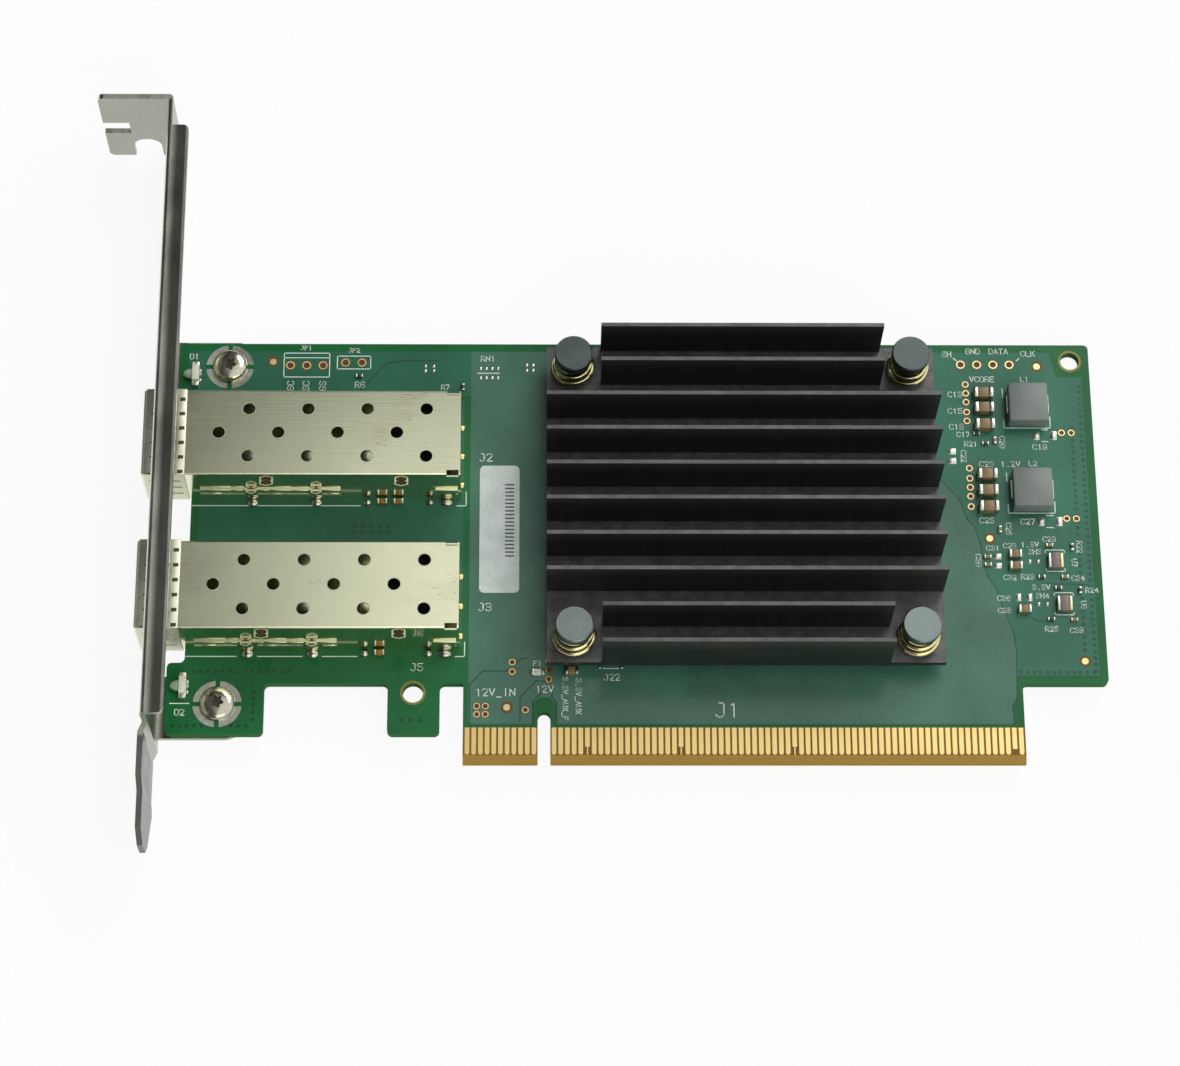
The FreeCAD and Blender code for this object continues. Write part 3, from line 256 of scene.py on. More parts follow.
class Effects:
    """Shader node groups that several finishes share, each built once."""

    def __init__(self) -> None:
        """Start with no groups."""
        self.built: dict[str, bpy.types.NodeTree] = {}

    def open(self, name: str, inputs: dict[str, float], outputs: Sequence[str]
             ) -> tuple[Shader, bpy.types.NodeOutputs, bpy.types.NodeInputs]:
        """Start a group of plain numbers.

        Args:
            name: Group name.
            inputs: Name and default of each input.
            outputs: Name of each output.

        Returns:
            The shader, the values given to the group and the sockets that it puts out.
        """
        tree = bpy.data.node_groups.new(name, "ShaderNodeTree")
        for label, default in inputs.items():
            tree.interface.new_socket(label, in_out="INPUT", socket_type=NUMBER).default_value = default
        for label in outputs:
            tree.interface.new_socket(label, in_out="OUTPUT", socket_type=NUMBER)
        self.built[name] = tree
        return Shader(tree), tree.nodes.new("NodeGroupInput").outputs, tree.nodes.new("NodeGroupOutput").inputs

    def sheet_grain(self) -> bpy.types.NodeTree:
        """Rolled-metal grain: fine lines along one axis with soft blotches.

        Returns:
            A group with the outputs Tone and Height.
        """
        if "Sheet grain" not in self.built:
            shader, given, out = self.open("Sheet grain", {"Along": 0.2, "Across": 6.0}, ("Tone", "Height"))
            parts = shader.split(shader.add("ShaderNodeTexCoord").outputs["Object"])
            along = shader.math("MULTIPLY", given["Along"], 1 / MM)
            across = shader.math("MULTIPLY", given["Across"], 1 / MM)
            stretched = shader.add("ShaderNodeCombineXYZ", {
                index: shader.math("MULTIPLY", parts[index], factor)
                for index, factor in enumerate((along, across, across))})
            lines = shader.noise(stretched.outputs[0], 1.0, 4.0, 0.6)
            blotch = shader.noise(shader.place(), 0.12, 3.0, 0.6)
            tone = shader.math("ADD", shader.math("MULTIPLY", lines, 0.4), shader.math("MULTIPLY", blotch, 0.6))
            shader.feed(out["Tone"], tone)
            shader.feed(out["Height"], lines)
        return self.built["Sheet grain"]

    def dust(self) -> bpy.types.NodeTree:
        """Dust that settles on faces that look up, together with painted sheen that lightens them.

        Returns:
            A group with the output Mask.
        """
        if "Dust" not in self.built:
            shader, given, out = self.open("Dust", {"Amount": 0.5, "Clump": 0.4}, ("Mask",))
            upward = shader.ramp(shader.facing()[2], 0.5, 1.0)
            clump = shader.noise(shader.place(), given["Clump"], 6.0, 0.65)
            spread = shader.ramp(clump, 0.3, 0.7, 0.5, 1.0)
            mask = shader.math("MULTIPLY", shader.math("MULTIPLY", upward, spread), given["Amount"])
            shader.feed(out["Mask"], mask)
        return self.built["Dust"]

    def speckle(self) -> bpy.types.NodeTree:
        """Fine moulding or casting grain.

        Returns:
            A group with the outputs Tone and Height.
        """
        if "Speckle" not in self.built:
            shader, given, out = self.open("Speckle", {"Size": 4.0}, ("Tone", "Height"))
            fine = shader.noise(shader.place(), given["Size"], 4.0, 0.7)
            broad = shader.noise(shader.place(), 0.25, 2.0, 0.5)
            shader.feed(out["Tone"], shader.math("ADD", shader.math("MULTIPLY", fine, 0.6),
                                                 shader.math("MULTIPLY", broad, 0.4)))
            shader.feed(out["Height"], fine)
        return self.built["Speckle"]

    def mask_layers(self) -> bpy.types.NodeTree:
        """Solder mask over laminate: clouds, glass weave, the bare connector and the cut sides.

        Returns:
            A group with the outputs Cloud, Weave, Bare, Gap, Side and Layers.
        """
        if "Mask layers" not in self.built:
            shader, given, out = self.open("Mask layers", {"Bare top": 5.65, "Bare left": -13.0, "Foot": 1.3},
                                           ("Cloud", "Weave", "Bare", "Gap", "Side", "Layers"))
            place = shader.place()
            parts = shader.split(place)
            layers = shader.math("SINE", shader.math("MULTIPLY", parts[2], 24.0))
            for label, value in (
                    ("Cloud", shader.ramp(shader.noise(place, 0.06, 4.0, 0.55), 0.35, 0.65)),
                    ("Weave", shader.noise(shader.place((1.0, 1.0, 0.1)), 3.0, 2.0, 0.5)),
                    ("Bare", shader.math("MULTIPLY", shader.math("LESS_THAN", parts[1], given["Bare top"]),
                                         shader.math("GREATER_THAN", parts[0], given["Bare left"]))),
                    ("Gap", shader.math("GREATER_THAN", parts[1], given["Foot"])),
                    ("Side", shader.math("LESS_THAN", shader.math("ABSOLUTE", shader.facing()[2]), 0.3)),
                    ("Layers", shader.ramp(layers, -1.0, 1.0))):
                shader.feed(out[label], value)
        return self.built["Mask layers"]


EFFECTS = Effects()


@dataclass(frozen=True)
class Finish:
    """A finish that becomes one material."""

    name: str
    colour: Colour
    roughness: float = 0.5
    metallic: float = 0.0

    def material(self) -> bpy.types.Material:
        """Return the material, built on first use."""
        found = bpy.data.materials.get(self.name)
        return found or self.build()

    def start(self) -> tuple[bpy.types.Material, Shader]:
        """Make a material with the finish's plain values.

        Returns:
            The material and its shader.
        """
        material = bpy.data.materials.new(self.name)
        material.use_nodes = True
        principled = material.node_tree.nodes["Principled BSDF"].inputs
        principled["Metallic"].default_value = self.metallic
        principled["Roughness"].default_value = self.roughness
        return material, Shader(material.node_tree)

    def build(self) -> bpy.types.Material:
        """Build a moulded finish with fine grain.

        Returns:
            The material.
        """
        material, shader = self.start()
        grain = shader.add("ShaderNodeGroup", node_tree=EFFECTS.speckle()).outputs
        shade = shader.ramp(grain["Tone"], 0.3, 0.7)
        shader.surface(shader.mix(shade, tinted(self.colour, 0.8), tinted(self.colour, 1.15)),
                       shader.ramp(grain["Tone"], 0.3, 0.7, self.roughness * 0.85, self.roughness * 1.1),
                       grain["Height"], 0.12, 0.05)
        return material


@dataclass(frozen=True)
class SheetMetal(Finish):
    """Plated sheet or wire with rolled grain, blotches and an optional brown stain."""

    metallic: float = 1.0
    along: float = 0.15
    across: float = 5.0
    depth: float = 0.25
    contrast: float = 0.12
    stain: Colour | None = None

    def build(self) -> bpy.types.Material:
        """Build the metal.

        Returns:
            The material.
        """
        material, shader = self.start()
        grain = shader.add("ShaderNodeGroup", {"Along": self.along, "Across": self.across},
                           node_tree=EFFECTS.sheet_grain()).outputs
        shade = shader.ramp(grain["Tone"], 0.35, 0.65)
        dark, light = tinted(self.colour, 1 - self.contrast), tinted(self.colour, 1 + self.contrast)
        colour = shader.mix(shade, dark, light)
        if self.stain:
            patch = shader.ramp(shader.noise(shader.place((1.0, 1.6, 1.0)), 0.07, 5.0, 0.62), 0.56, 0.72)
            specks = shader.ramp(shader.noise(shader.place((1.0, 2.0, 1.0)), 1.3, 3.0, 0.6), 0.58, 0.7)
            dots = shader.math("MULTIPLY", specks, shader.ramp(patch, 0.0, 0.6, 0.06, 0.8))
            spots = shader.math("ADD", shader.math("MULTIPLY", patch, 0.25), dots)
            amount = shader.math("MULTIPLY", spots, 0.4)
            colour = shader.mix(amount, colour, self.stain)
        shader.surface(colour, shader.ramp(grain["Tone"], 0.3, 0.7, self.roughness * 0.8, self.roughness * 1.2),
                       grain["Height"], self.depth, 0.02)
        return material


@dataclass(frozen=True)
class BentSteel(SheetMetal):
    """Plated strip with long folded lips, with light painted into its colour: painted highlights at the bend and
    the cut edge, a painted dark reflection across the flat and painted shade on the tongue.
    """

    bend: Point = (-58.3, -56.95)
    cut_edge: Point = (-55.95, -55.75)
    # Factors on the plating colour: painted highlight at the bend, painted dark reflection across the flat,
    # painted highlight at the cut edge; the tongue factor is painted shade.
    bend_highlight: float = 1.85
    flat_dark_reflection: float = 0.33
    edge_highlight: float = 1.0
    tongue_top: float = 1.5
    tongue_shade: float = 0.3

    def build(self) -> bpy.types.Material:
        """Build the metal and paint highlights, a dark reflection and shade into its colour across the lips and
        the tongue.

        Returns:
            The material.
        """
        material = super().build()
        shader = Shader(material.node_tree)
        socket = material.node_tree.nodes["Principled BSDF"].inputs["Base Color"]
        plating = socket.links[0].from_socket
        place, facing = shader.split(shader.place()), shader.facing()
        # Painted highlight at the bend and the cut edge, painted dark reflection across the flat, on faces that
        # look up or out.
        across = shader.math("ADD", shader.ramp(place[0], *self.bend, self.bend_highlight, self.flat_dark_reflection),
                             shader.ramp(place[0], *self.cut_edge, 0.0, self.edge_highlight))
        across = shader.math("SUBTRACT", across, 1.0)
        seen = shader.math("MAXIMUM", shader.math("GREATER_THAN", facing[2], 0.5),
                           shader.math("LESS_THAN", facing[0], -0.5))
        lip = shader.math("MULTIPLY", seen, across)
        # Painted shade: darker below the tongue's top.
        low = shader.ramp(place[1], self.tongue_top - 1.0, self.tongue_top, self.tongue_shade, 1.0)
        light = shader.math("MULTIPLY", shader.math("ADD", lip, 1.0), low)
        plating_with_painted_light = shader.add("ShaderNodeVectorMath", {0: plating}, operation="SCALE")
        shader.feed(plating_with_painted_light.inputs["Scale"], light)
        shader.feed(socket, plating_with_painted_light.outputs[0])
        return material


@dataclass(frozen=True)
class Anodised(Finish):
    """Black anodised aluminium with extrusion lines, fins painted lighter towards their tops as a painted
    highlight, and dust with painted sheen on faces that look up.
    """

    # Grey of the dust and painted sheen on faces that look up.
    dust: Colour = (0.2, 0.2, 0.2)
    amount: float = 0.8
    # Z levels and factor of the painted highlight that lightens the fins towards their tops.
    fin_highlight_levels: Point = (9.0, 14.0)
    fin_top_highlight: float = 3.4

    def build(self) -> bpy.types.Material:
        """Build the anodised metal.

        Returns:
            The material.
        """
        material, shader = self.start()
        grain = shader.add("ShaderNodeGroup", {"Along": 0.03, "Across": 4.0},
                           node_tree=EFFECTS.sheet_grain()).outputs
        # Dust and painted sheen lighten faces that look up.
        dust_and_sheen_node = shader.add("ShaderNodeGroup", {"Amount": self.amount, "Clump": 0.5}, node_tree=EFFECTS.dust())
        lines = shader.ramp(grain["Tone"], 0.35, 0.65)
        black = shader.mix(lines, tinted(self.colour, 0.6), tinted(self.colour, 1.5))
        # Painted highlight: the black gets lighter towards the fin tops.
        upper = shader.ramp(shader.split(shader.place())[2], *self.fin_highlight_levels)
        black = shader.mix(upper, black, tinted(self.colour, self.fin_top_highlight))
        grey = shader.mix(lines, tinted(self.dust, 0.75), self.dust)
        shader.surface(shader.mix(dust_and_sheen_node.outputs["Mask"], black, grey),
                       shader.ramp(lines, 0.0, 1.0, self.roughness * 0.9, self.roughness * 1.1),
                       grain["Height"], 0.35, 0.03)
        return material


@dataclass(frozen=True)
class SolderMask(Finish):
    """Green mask over laminate: amber on the bare edge connector, olive on the cut edges."""

    amber: Colour = (0.36, 0.21, 0.025)
    gap: Colour = (0.2, 0.09, 0.008)
    glass: Colour = (0.01, 0.05, 0.03)
    cut: Colour = (0.03, 0.16, 0.04)
    shine: float = 0.5
    bare_top: float = 5.65
    bare_left: float = -13.0
    finger_foot: float = 1.3
    weave: float = 0.08

    def build(self) -> bpy.types.Material:
        """Build the mask.

        Returns:
            The material.
        """
        material, shader = self.start()
        material.node_tree.nodes["Principled BSDF"].inputs["Specular IOR Level"].default_value = self.shine
        limits = {"Bare top": self.bare_top, "Bare left": self.bare_left, "Foot": self.finger_foot}
        masks = shader.add("ShaderNodeGroup", limits, node_tree=EFFECTS.mask_layers()).outputs
        green = shader.mix(masks["Cloud"], tinted(self.colour, 0.85), tinted(self.colour, 1.12))
        green = shader.mix(shader.ramp(masks["Weave"], 0.4, 0.7, 0.0, self.weave), green, self.glass)
        colour = shader.mix(masks["Bare"], green, shader.mix(masks["Gap"], self.amber, self.gap))
        edge = shader.mix(masks["Layers"], self.cut, tinted(self.cut, 0.75))
        edge = shader.mix(masks["Bare"], edge, self.amber)
        gloss = shader.ramp(masks["Weave"], 0.3, 0.7, self.roughness * 0.9, self.roughness * 1.15)
        shader.surface(shader.mix(masks["Side"], colour, edge), shader.math("MAXIMUM", gloss, masks["Side"]),
                       masks["Weave"], 0.08, 0.03)
        return material


MASK = SolderMask("Mask over laminate", linear(17, 99, 50), 0.24, shine=0.34)
POUR = SolderMask("Mask over copper", linear(14, 96, 66), 0.4)
POUR_RIGHT = SolderMask("Mask over supply copper", linear(36, 108, 82), 0.22)
POUR_GREY = SolderMask("Mask over inner planes", linear(66, 112, 92), 0.22)
SEAM = SolderMask("Mask in etched seams", linear(10, 62, 40), 0.3)
TENTED = SolderMask("Mask over vias", linear(8, 50, 38), 0.3)
GOLD = SheetMetal("Gold plating", linear(244, 214, 140), 0.3, contrast=0.03, across=0.5, depth=0.0)
PALE_GOLD = SheetMetal("Pale gold rings", linear(228, 214, 158), 0.35, contrast=0.08, across=1.0, depth=0.02)
TIN = SheetMetal("Tinned pads", linear(196, 198, 184), 0.28, contrast=0.2, along=1.0, across=1.0, depth=0.1)
SOLDER = SheetMetal("Solder", linear(186, 187, 174), 0.2, contrast=0.2, along=0.8, across=0.8, depth=0.1)
NICKEL_CAGE = SheetMetal("Nickel cage sheet", linear(232, 234, 200), 0.14, along=0.1, across=3.0, depth=0.1,
                         stain=linear(120, 96, 52), contrast=0.03)
NICKEL_EDGE = SheetMetal("Bright sheet edge", linear(232, 230, 206), 0.3, contrast=0.05)
NICKEL_COLLAR = SheetMetal("Nickel spring sheet", linear(226, 226, 204), 0.45, along=1.0, across=1.0,
                           contrast=0.12)
BRACKET_STEEL = BentSteel("Bracket plating", linear(166, 168, 156), 0.3, along=1.5, across=0.15, contrast=0.05,
                           depth=0.04)
SCREW_STEEL = SheetMetal("Screw plating", linear(190, 186, 168), 0.2, along=1.0, across=1.0)
SPRING_WIRE = SheetMetal("Spring wire", linear(222, 214, 160), 0.22, along=1.0, across=1.0)
# A darker copy of the pin plating, as painted shade on the pins on the far side.
PIN_IN_PAINTED_SHADE = SheetMetal("Pin plating in painted shade", linear(90, 99, 97), 0.4, along=0.8, across=0.8, contrast=0.08,
                      depth=0.1)
PIN_GREY = SheetMetal("Pin plating", linear(128, 139, 136), 0.4, along=0.8, across=0.8, contrast=0.08,
                      depth=0.1)
SINK_BLACK = Anodised("Black anodised", (0.010, 0.010, 0.010), 0.36, 0.3, dust=linear(120, 120, 120))
MOULDING = Finish("Black moulding", (0.018, 0.018, 0.018), 0.5)
# Copper-brown of a plated bore, darkened as painted shade for the hole's depth.
PLATED_HOLE_SHADE = Finish("Plated hole in painted shade", linear(92, 50, 10), 0.6)
# Painted shade for the floor of the screw recess.
RECESS_SHADE = SheetMetal("Painted recess shade", linear(84, 82, 72), 0.35, contrast=0.2)
# Painted shade: a dark colour laid in slots and tab centres that open into shade.
SLOT_SHADE = Finish("Painted slot shade", linear(62, 56, 22), 0.6)
SLOT_GREY = Finish("Shaded slot", linear(72, 73, 64), 0.6)
LAMINATE = Finish("Bare laminate ring", linear(98, 70, 16), 0.5)
HOLE_RIM = Finish("Routed hole rim", linear(134, 128, 54), 0.5)
INK = Finish("Printing ink", linear(228, 240, 228), 0.6)
INDUCTOR_GREY = Finish("Inductor moulding", linear(118, 126, 121), 0.45)
CERAMIC = Finish("Capacitor ceramic", linear(134, 114, 74), 0.4)
MODULE_TOP = Finish("Module top", linear(118, 108, 102), 0.4)
AMBER_CERAMIC = Finish("Amber capacitor", linear(150, 112, 40), 0.35)
RESISTOR_BLACK = Finish("Resistor glaze", (0.02, 0.02, 0.02), 0.3)
WHITE_PLASTIC = Finish("Lamp body", linear(214, 214, 196), 0.45)
LENS = Finish("Lamp lens", linear(150, 166, 146), 0.12)
PAPER = Finish("Sticker", linear(202, 212, 208), 0.55)
GREY_PRINT = Finish("Sticker print", linear(74, 78, 80), 0.6)
PAD_GREY = Finish("Thermal pad", linear(120, 120, 130), 0.7)
LID_METAL = SheetMetal("Controller lid", linear(170, 170, 170), 0.35)


# ---------------------------------------------------------------- mesh building

# A letter's strokes on a grid 4 wide and 6 high: points apart by spaces, strokes apart by bars.
PEN_LETTERS: dict[str, str] = {
    "0": "1,0 3,0 4,1 4,5 3,6 1,6 0,5 0,1 1,0",
    "1": "1,5 2,6 2,0",
    "2": "0,5 1,6 3,6 4,5 4,4 0,0 4,0",
    "3": "0,5 1,6 3,6 4,5 4,4 3,3 1.5,3|3,3 4,2 4,1 3,0 1,0 0,1",
    "4": "3,0 3,6 0,2 4,2",
    "5": "4,6 0,6 0,3.5 3,3.5 4,2.5 4,1 3,0 1,0 0,1",
    "6": "4,5 3,6 1,6 0,5 0,1 1,0 3,0 4,1 4,2.5 3,3.4 0,3.4",
    "7": "0,6 4,6 1.5,0",
    "8": "1,3.2 0,4 0,5 1,6 3,6 4,5 4,4 3,3.2 1,3.2 0,2.2 0,1 1,0 3,0 4,1 4,2.2 3,3.2",
    "9": "4,2.6 1,2.6 0,3.5 0,5 1,6 3,6 4,5 4,1 3,0 1,0 0,1",
    "A": "0,0 2,6 4,0|0.7,2 3.3,2",
    "B": "0,0 0,6 3,6 4,5 4,4 3,3 0,3|3,3 4,2 4,1 3,0 0,0",
    "C": "4,5 3,6 1,6 0,5 0,1 1,0 3,0 4,1",
    "D": "0,0 0,6 2.6,6 4,4.6 4,1.4 2.6,0 0,0",
    "E": "4,6 0,6 0,0 4,0|0,3 3,3",
    "F": "4,6 0,6 0,0|0,3 3,3",
    "G": "4,5 3,6 1,6 0,5 0,1 1,0 3,0 4,1 4,2.7 2.3,2.7",
    "H": "0,0 0,6|4,0 4,6|0,3 4,3",
    "I": "2,0 2,6",
    "J": "1.6,6 3.4,6 3.4,1 2.4,0 1,0 0.2,1",
    "K": "0,0 0,6|4,6 0,2.4|1.4,3.6 4,0",
    "L": "0,6 0,0 4,0",
    "N": "0,0 0,6 4,0 4,6",
    "O": "1,0 3,0 4,1 4,5 3,6 1,6 0,5 0,1 1,0",
    "P": "0,0 0,6 3,6 4,5 4,4 3,3 0,3",
    "R": "0,0 0,6 3,6 4,5 4,4 3,3 0,3|2,3 4,0",
    "S": "4,5 3,6 1,6 0,5 0,4 1,3.2 3,2.8 4,2 4,1 3,0 1,0 0,1",
    "T": "0,6 4,6|2,0 2,6",
    "U": "0,6 0,1 1,0 3,0 4,1 4,6",
    "V": "0,6 2,0 4,6",
    "X": "0,0 4,6|0,6 4,0",
    "_": "0,-1 4,-1",
    ".": "1.8,0 2.2,0",
}
LETTER_WIDTH, LETTER_HEIGHT, LETTER_STEP = 4, 6, 5.4


def pen_strokes(letter: str) -> list[list[Point]]:
    """Return the strokes of a letter, or none for one that isn't drawn."""
    lines = PEN_LETTERS[letter].split("|") if letter in PEN_LETTERS else []
    return [[tuple(map(float, spot.split(","))) for spot in line.split()] for line in lines]


class Mesher:
    """A piece in the making: a bmesh in millimetres with one material index a finish."""

    def __init__(self, *finishes: Finish) -> None:
        """Start empty, with the finishes in slot order."""
        self.mesh = bmesh.new()
        self.finishes = finishes

    def paint(self, faces: Iterable[bmesh.types.BMFace], slot: int) -> None:
        """Give faces a material slot."""
        for face in faces:
            face.material_index = slot

    def paint_at(self, verts: Iterable[bmesh.types.BMVert], slot: int) -> set[bmesh.types.BMFace]:
        """Paint the faces that meet at corners.

        Args:
            verts: The corners.
            slot: Material slot.

        Returns:
            The painted faces.
        """
        faces = {face for vert in verts for face in vert.link_faces}
        self.paint(faces, slot)
        return faces

    def move(self, verts: Sequence[bmesh.types.BMVert], by: Sequence[float]) -> None:
        """Move corners."""
        bmesh.ops.translate(self.mesh, verts=verts, vec=by)

    def lift(self, faces: list[bmesh.types.BMFace], height: float) -> list[bmesh.types.BMVert]:
        """Extrude faces upwards.

        Args:
            faces: The faces.
            height: How far.

        Returns:
            The raised corners.
        """
        grown = bmesh.ops.extrude_face_region(self.mesh, geom=faces)["geom"]
        raised = [item for item in grown if isinstance(item, bmesh.types.BMVert)]
        self.move(raised, (0, 0, height))
        return raised

    def box(self, low: Vector, high: Vector, bevel: float = 0.0, slot: int = 0) -> None:
        """Add a box, with rounded edges when bevel is given.

        Args:
            low: Lowest corner.
            high: Highest corner.
            bevel: Width of the rounding.
            slot: Material slot.
        """
        low, high = Vector(low), Vector(high)
        made = bmesh.ops.create_cube(self.mesh, size=1.0)["verts"]
        bmesh.ops.scale(self.mesh, verts=made, vec=high - low)
        self.move(made, (high + low) / 2)
        faces = self.paint_at(made, slot)
        if bevel:
            edges = {edge for face in faces for edge in face.edges}
            done = bmesh.ops.bevel(self.mesh, geom=list(edges), offset=bevel, affect="EDGES", segments=2,
                                   profile=0.5, material=-1)
            self.paint(done["faces"], slot)

    def plate(self, outline: Sequence[Point], bottom: float, top: float, slot: int = 0) -> None:
        """Add a flat plate from its outline.

        Args:
            outline: Corners in order.
            bottom: Z of the lower face.
            top: Z of the upper face.
            slot: Material slot.
        """
        corners = [self.mesh.verts.new((x, y, bottom)) for x, y in outline]
        raised = self.lift([self.mesh.faces.new(corners)], top - bottom)
        self.paint_at(corners + raised, slot)

    def ring(self, x: float, y: float, outer: float, inner: float, bottom: float, top: float, slot: int = 0,
             steps: int = 20) -> None:
        """Add a flat ring, or a disc when inner is zero.

        Args:
            x: Centre.
            y: Centre.
            outer: Outer radius.
            inner: Inner radius.
            bottom: Z of the lower face.
            top: Z of the upper face.
            slot: Material slot.
            steps: Sides of the circle.
        """
        made = bmesh.ops.create_circle(self.mesh, cap_ends=True, segments=steps, radius=outer)["verts"]
        self.move(made, (x, y, bottom))
        face = made[0].link_faces[0]
        if inner:
            inset = bmesh.ops.inset_region(self.mesh, faces=[face], thickness=outer - inner, use_boundary=True,
                                           use_even_offset=False)
            bmesh.ops.delete(self.mesh, geom=[face], context="FACES_ONLY")
            faces = inset["faces"]
        else:
            faces = [face]
        self.paint_at(self.lift(faces, top - bottom), slot)
        self.paint(faces, slot)

    def stroke(self, points: Sequence[Point], width: float, bottom: float, top: float, slot: int = 0) -> None:
        """Add a line of constant width along points.

        Args:
            points: Corners of the line.
            width: Line width.
            bottom: Z of the lower face.
            top: Z of the upper face.
            slot: Material slot.
        """
        for (x0, y0), (x1, y1) in zip(points, points[1:]):
            run = Vector((x1 - x0, y1 - y0, 0))
            made = bmesh.ops.create_cube(self.mesh, size=1.0)["verts"]
            bmesh.ops.scale(self.mesh, verts=made, vec=(run.length + width, width, top - bottom))
            turn = Matrix.Rotation(math.atan2(run.y, run.x), 3, "Z")
            bmesh.ops.rotate(self.mesh, verts=made, cent=(0, 0, 0), matrix=turn)
            self.move(made, ((x0 + x1) / 2, (y0 + y1) / 2, (bottom + top) / 2))
            self.paint_at(made, slot)

    def word(self, text: str, x: float, y: float, height: float, turn: Turn, bottom: float,
             slot: int = 0) -> None:
        """Add a printed word centred on a place, drawn with a pen of one width.

        Args:
            text: The letters.
            x: Centre.
            y: Centre.
            height: Height of a capital.
            turn: Reading direction.
            bottom: Z under the print.
            slot: Material slot.
        """
        unit = height * 0.87 / LETTER_HEIGHT
        wide = unit * (LETTER_STEP * len(text) - (LETTER_STEP - LETTER_WIDTH))
        angle = math.radians(turn.value)
        cosine, sine = math.cos(angle), math.sin(angle)
        for index, letter in enumerate(text):
            for line in pen_strokes(letter):
                flat = [((LETTER_STEP * index + across) * unit - wide / 2, (up - LETTER_HEIGHT / 2) * unit)
                        for across, up in line]
                self.stroke([(x + u * cosine - v * sine, y + u * sine + v * cosine) for u, v in flat],
                            0.085 + height * 0.04, bottom, bottom + 0.015, slot)

    def dome(self, x: float, y: float, radius: Vector, bottom: float, slot: int = 0) -> None:
        """Add a half-round blob, such as solder.

        Args:
            x: Centre.
            y: Centre.
            radius: Half size along each axis.
            bottom: Z of its foot.
            slot: Material slot.
        """
        made = bmesh.ops.create_uvsphere(self.mesh, u_segments=14, v_segments=10, radius=1.0)["verts"]
        bmesh.ops.scale(self.mesh, verts=made, vec=radius)
        self.move(made, (x, y, bottom))
        self.paint_at(made, slot)

    def finish(self, name: str, slot: str, replaces: Sequence[str] = (),
               smooth: bool = False) -> bpy.types.Object:
        """Close the piece: scale to metres, mend normals, link it and tie it to the frame.

        Args:
            name: Piece name.
            slot: The record's material slot; not used.
            replaces: CAD nodes that it stands for.
            smooth: Whether rounded parts are shaded smooth.

        Returns:
            The finished object.
        """
        bmesh.ops.recalc_face_normals(self.mesh, faces=self.mesh.faces)
        bmesh.ops.scale(self.mesh, verts=self.mesh.verts, vec=(MM, MM, MM))
        data = bpy.data.meshes.new(name)
        self.mesh.to_mesh(data)
        self.mesh.free()
        for finish in self.finishes:
            data.materials.append(finish.material())
        if smooth:
            data.shade_smooth()
            data.set_sharp_from_angle(angle=SMOOTH_ANGLE)
        piece = bpy.data.objects.new(name, data)
        bpy.context.scene.collection.objects.link(piece)
        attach(piece, "root")
        if replaces:
            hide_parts(*replaces)
        log.info("%s: %d faces", name, len(data.polygons))
        return piece


def dress(finish: Finish, *nodes: str) -> None:
    """Give CAD nodes a finish.

    Args:
        finish: The finish.
        nodes: CAD node names.
    """
    for name in nodes:
        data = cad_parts[name].data
        data.materials.clear()
        data.materials.append(finish.material())


# ---------------------------------------------------------------- board


@dataclass(frozen=True)
class Marking:
    """One printed word on the board."""

    text: str
    x: float
    y: float
    height: float = 1.0
    turn: Turn = Turn.ALONG


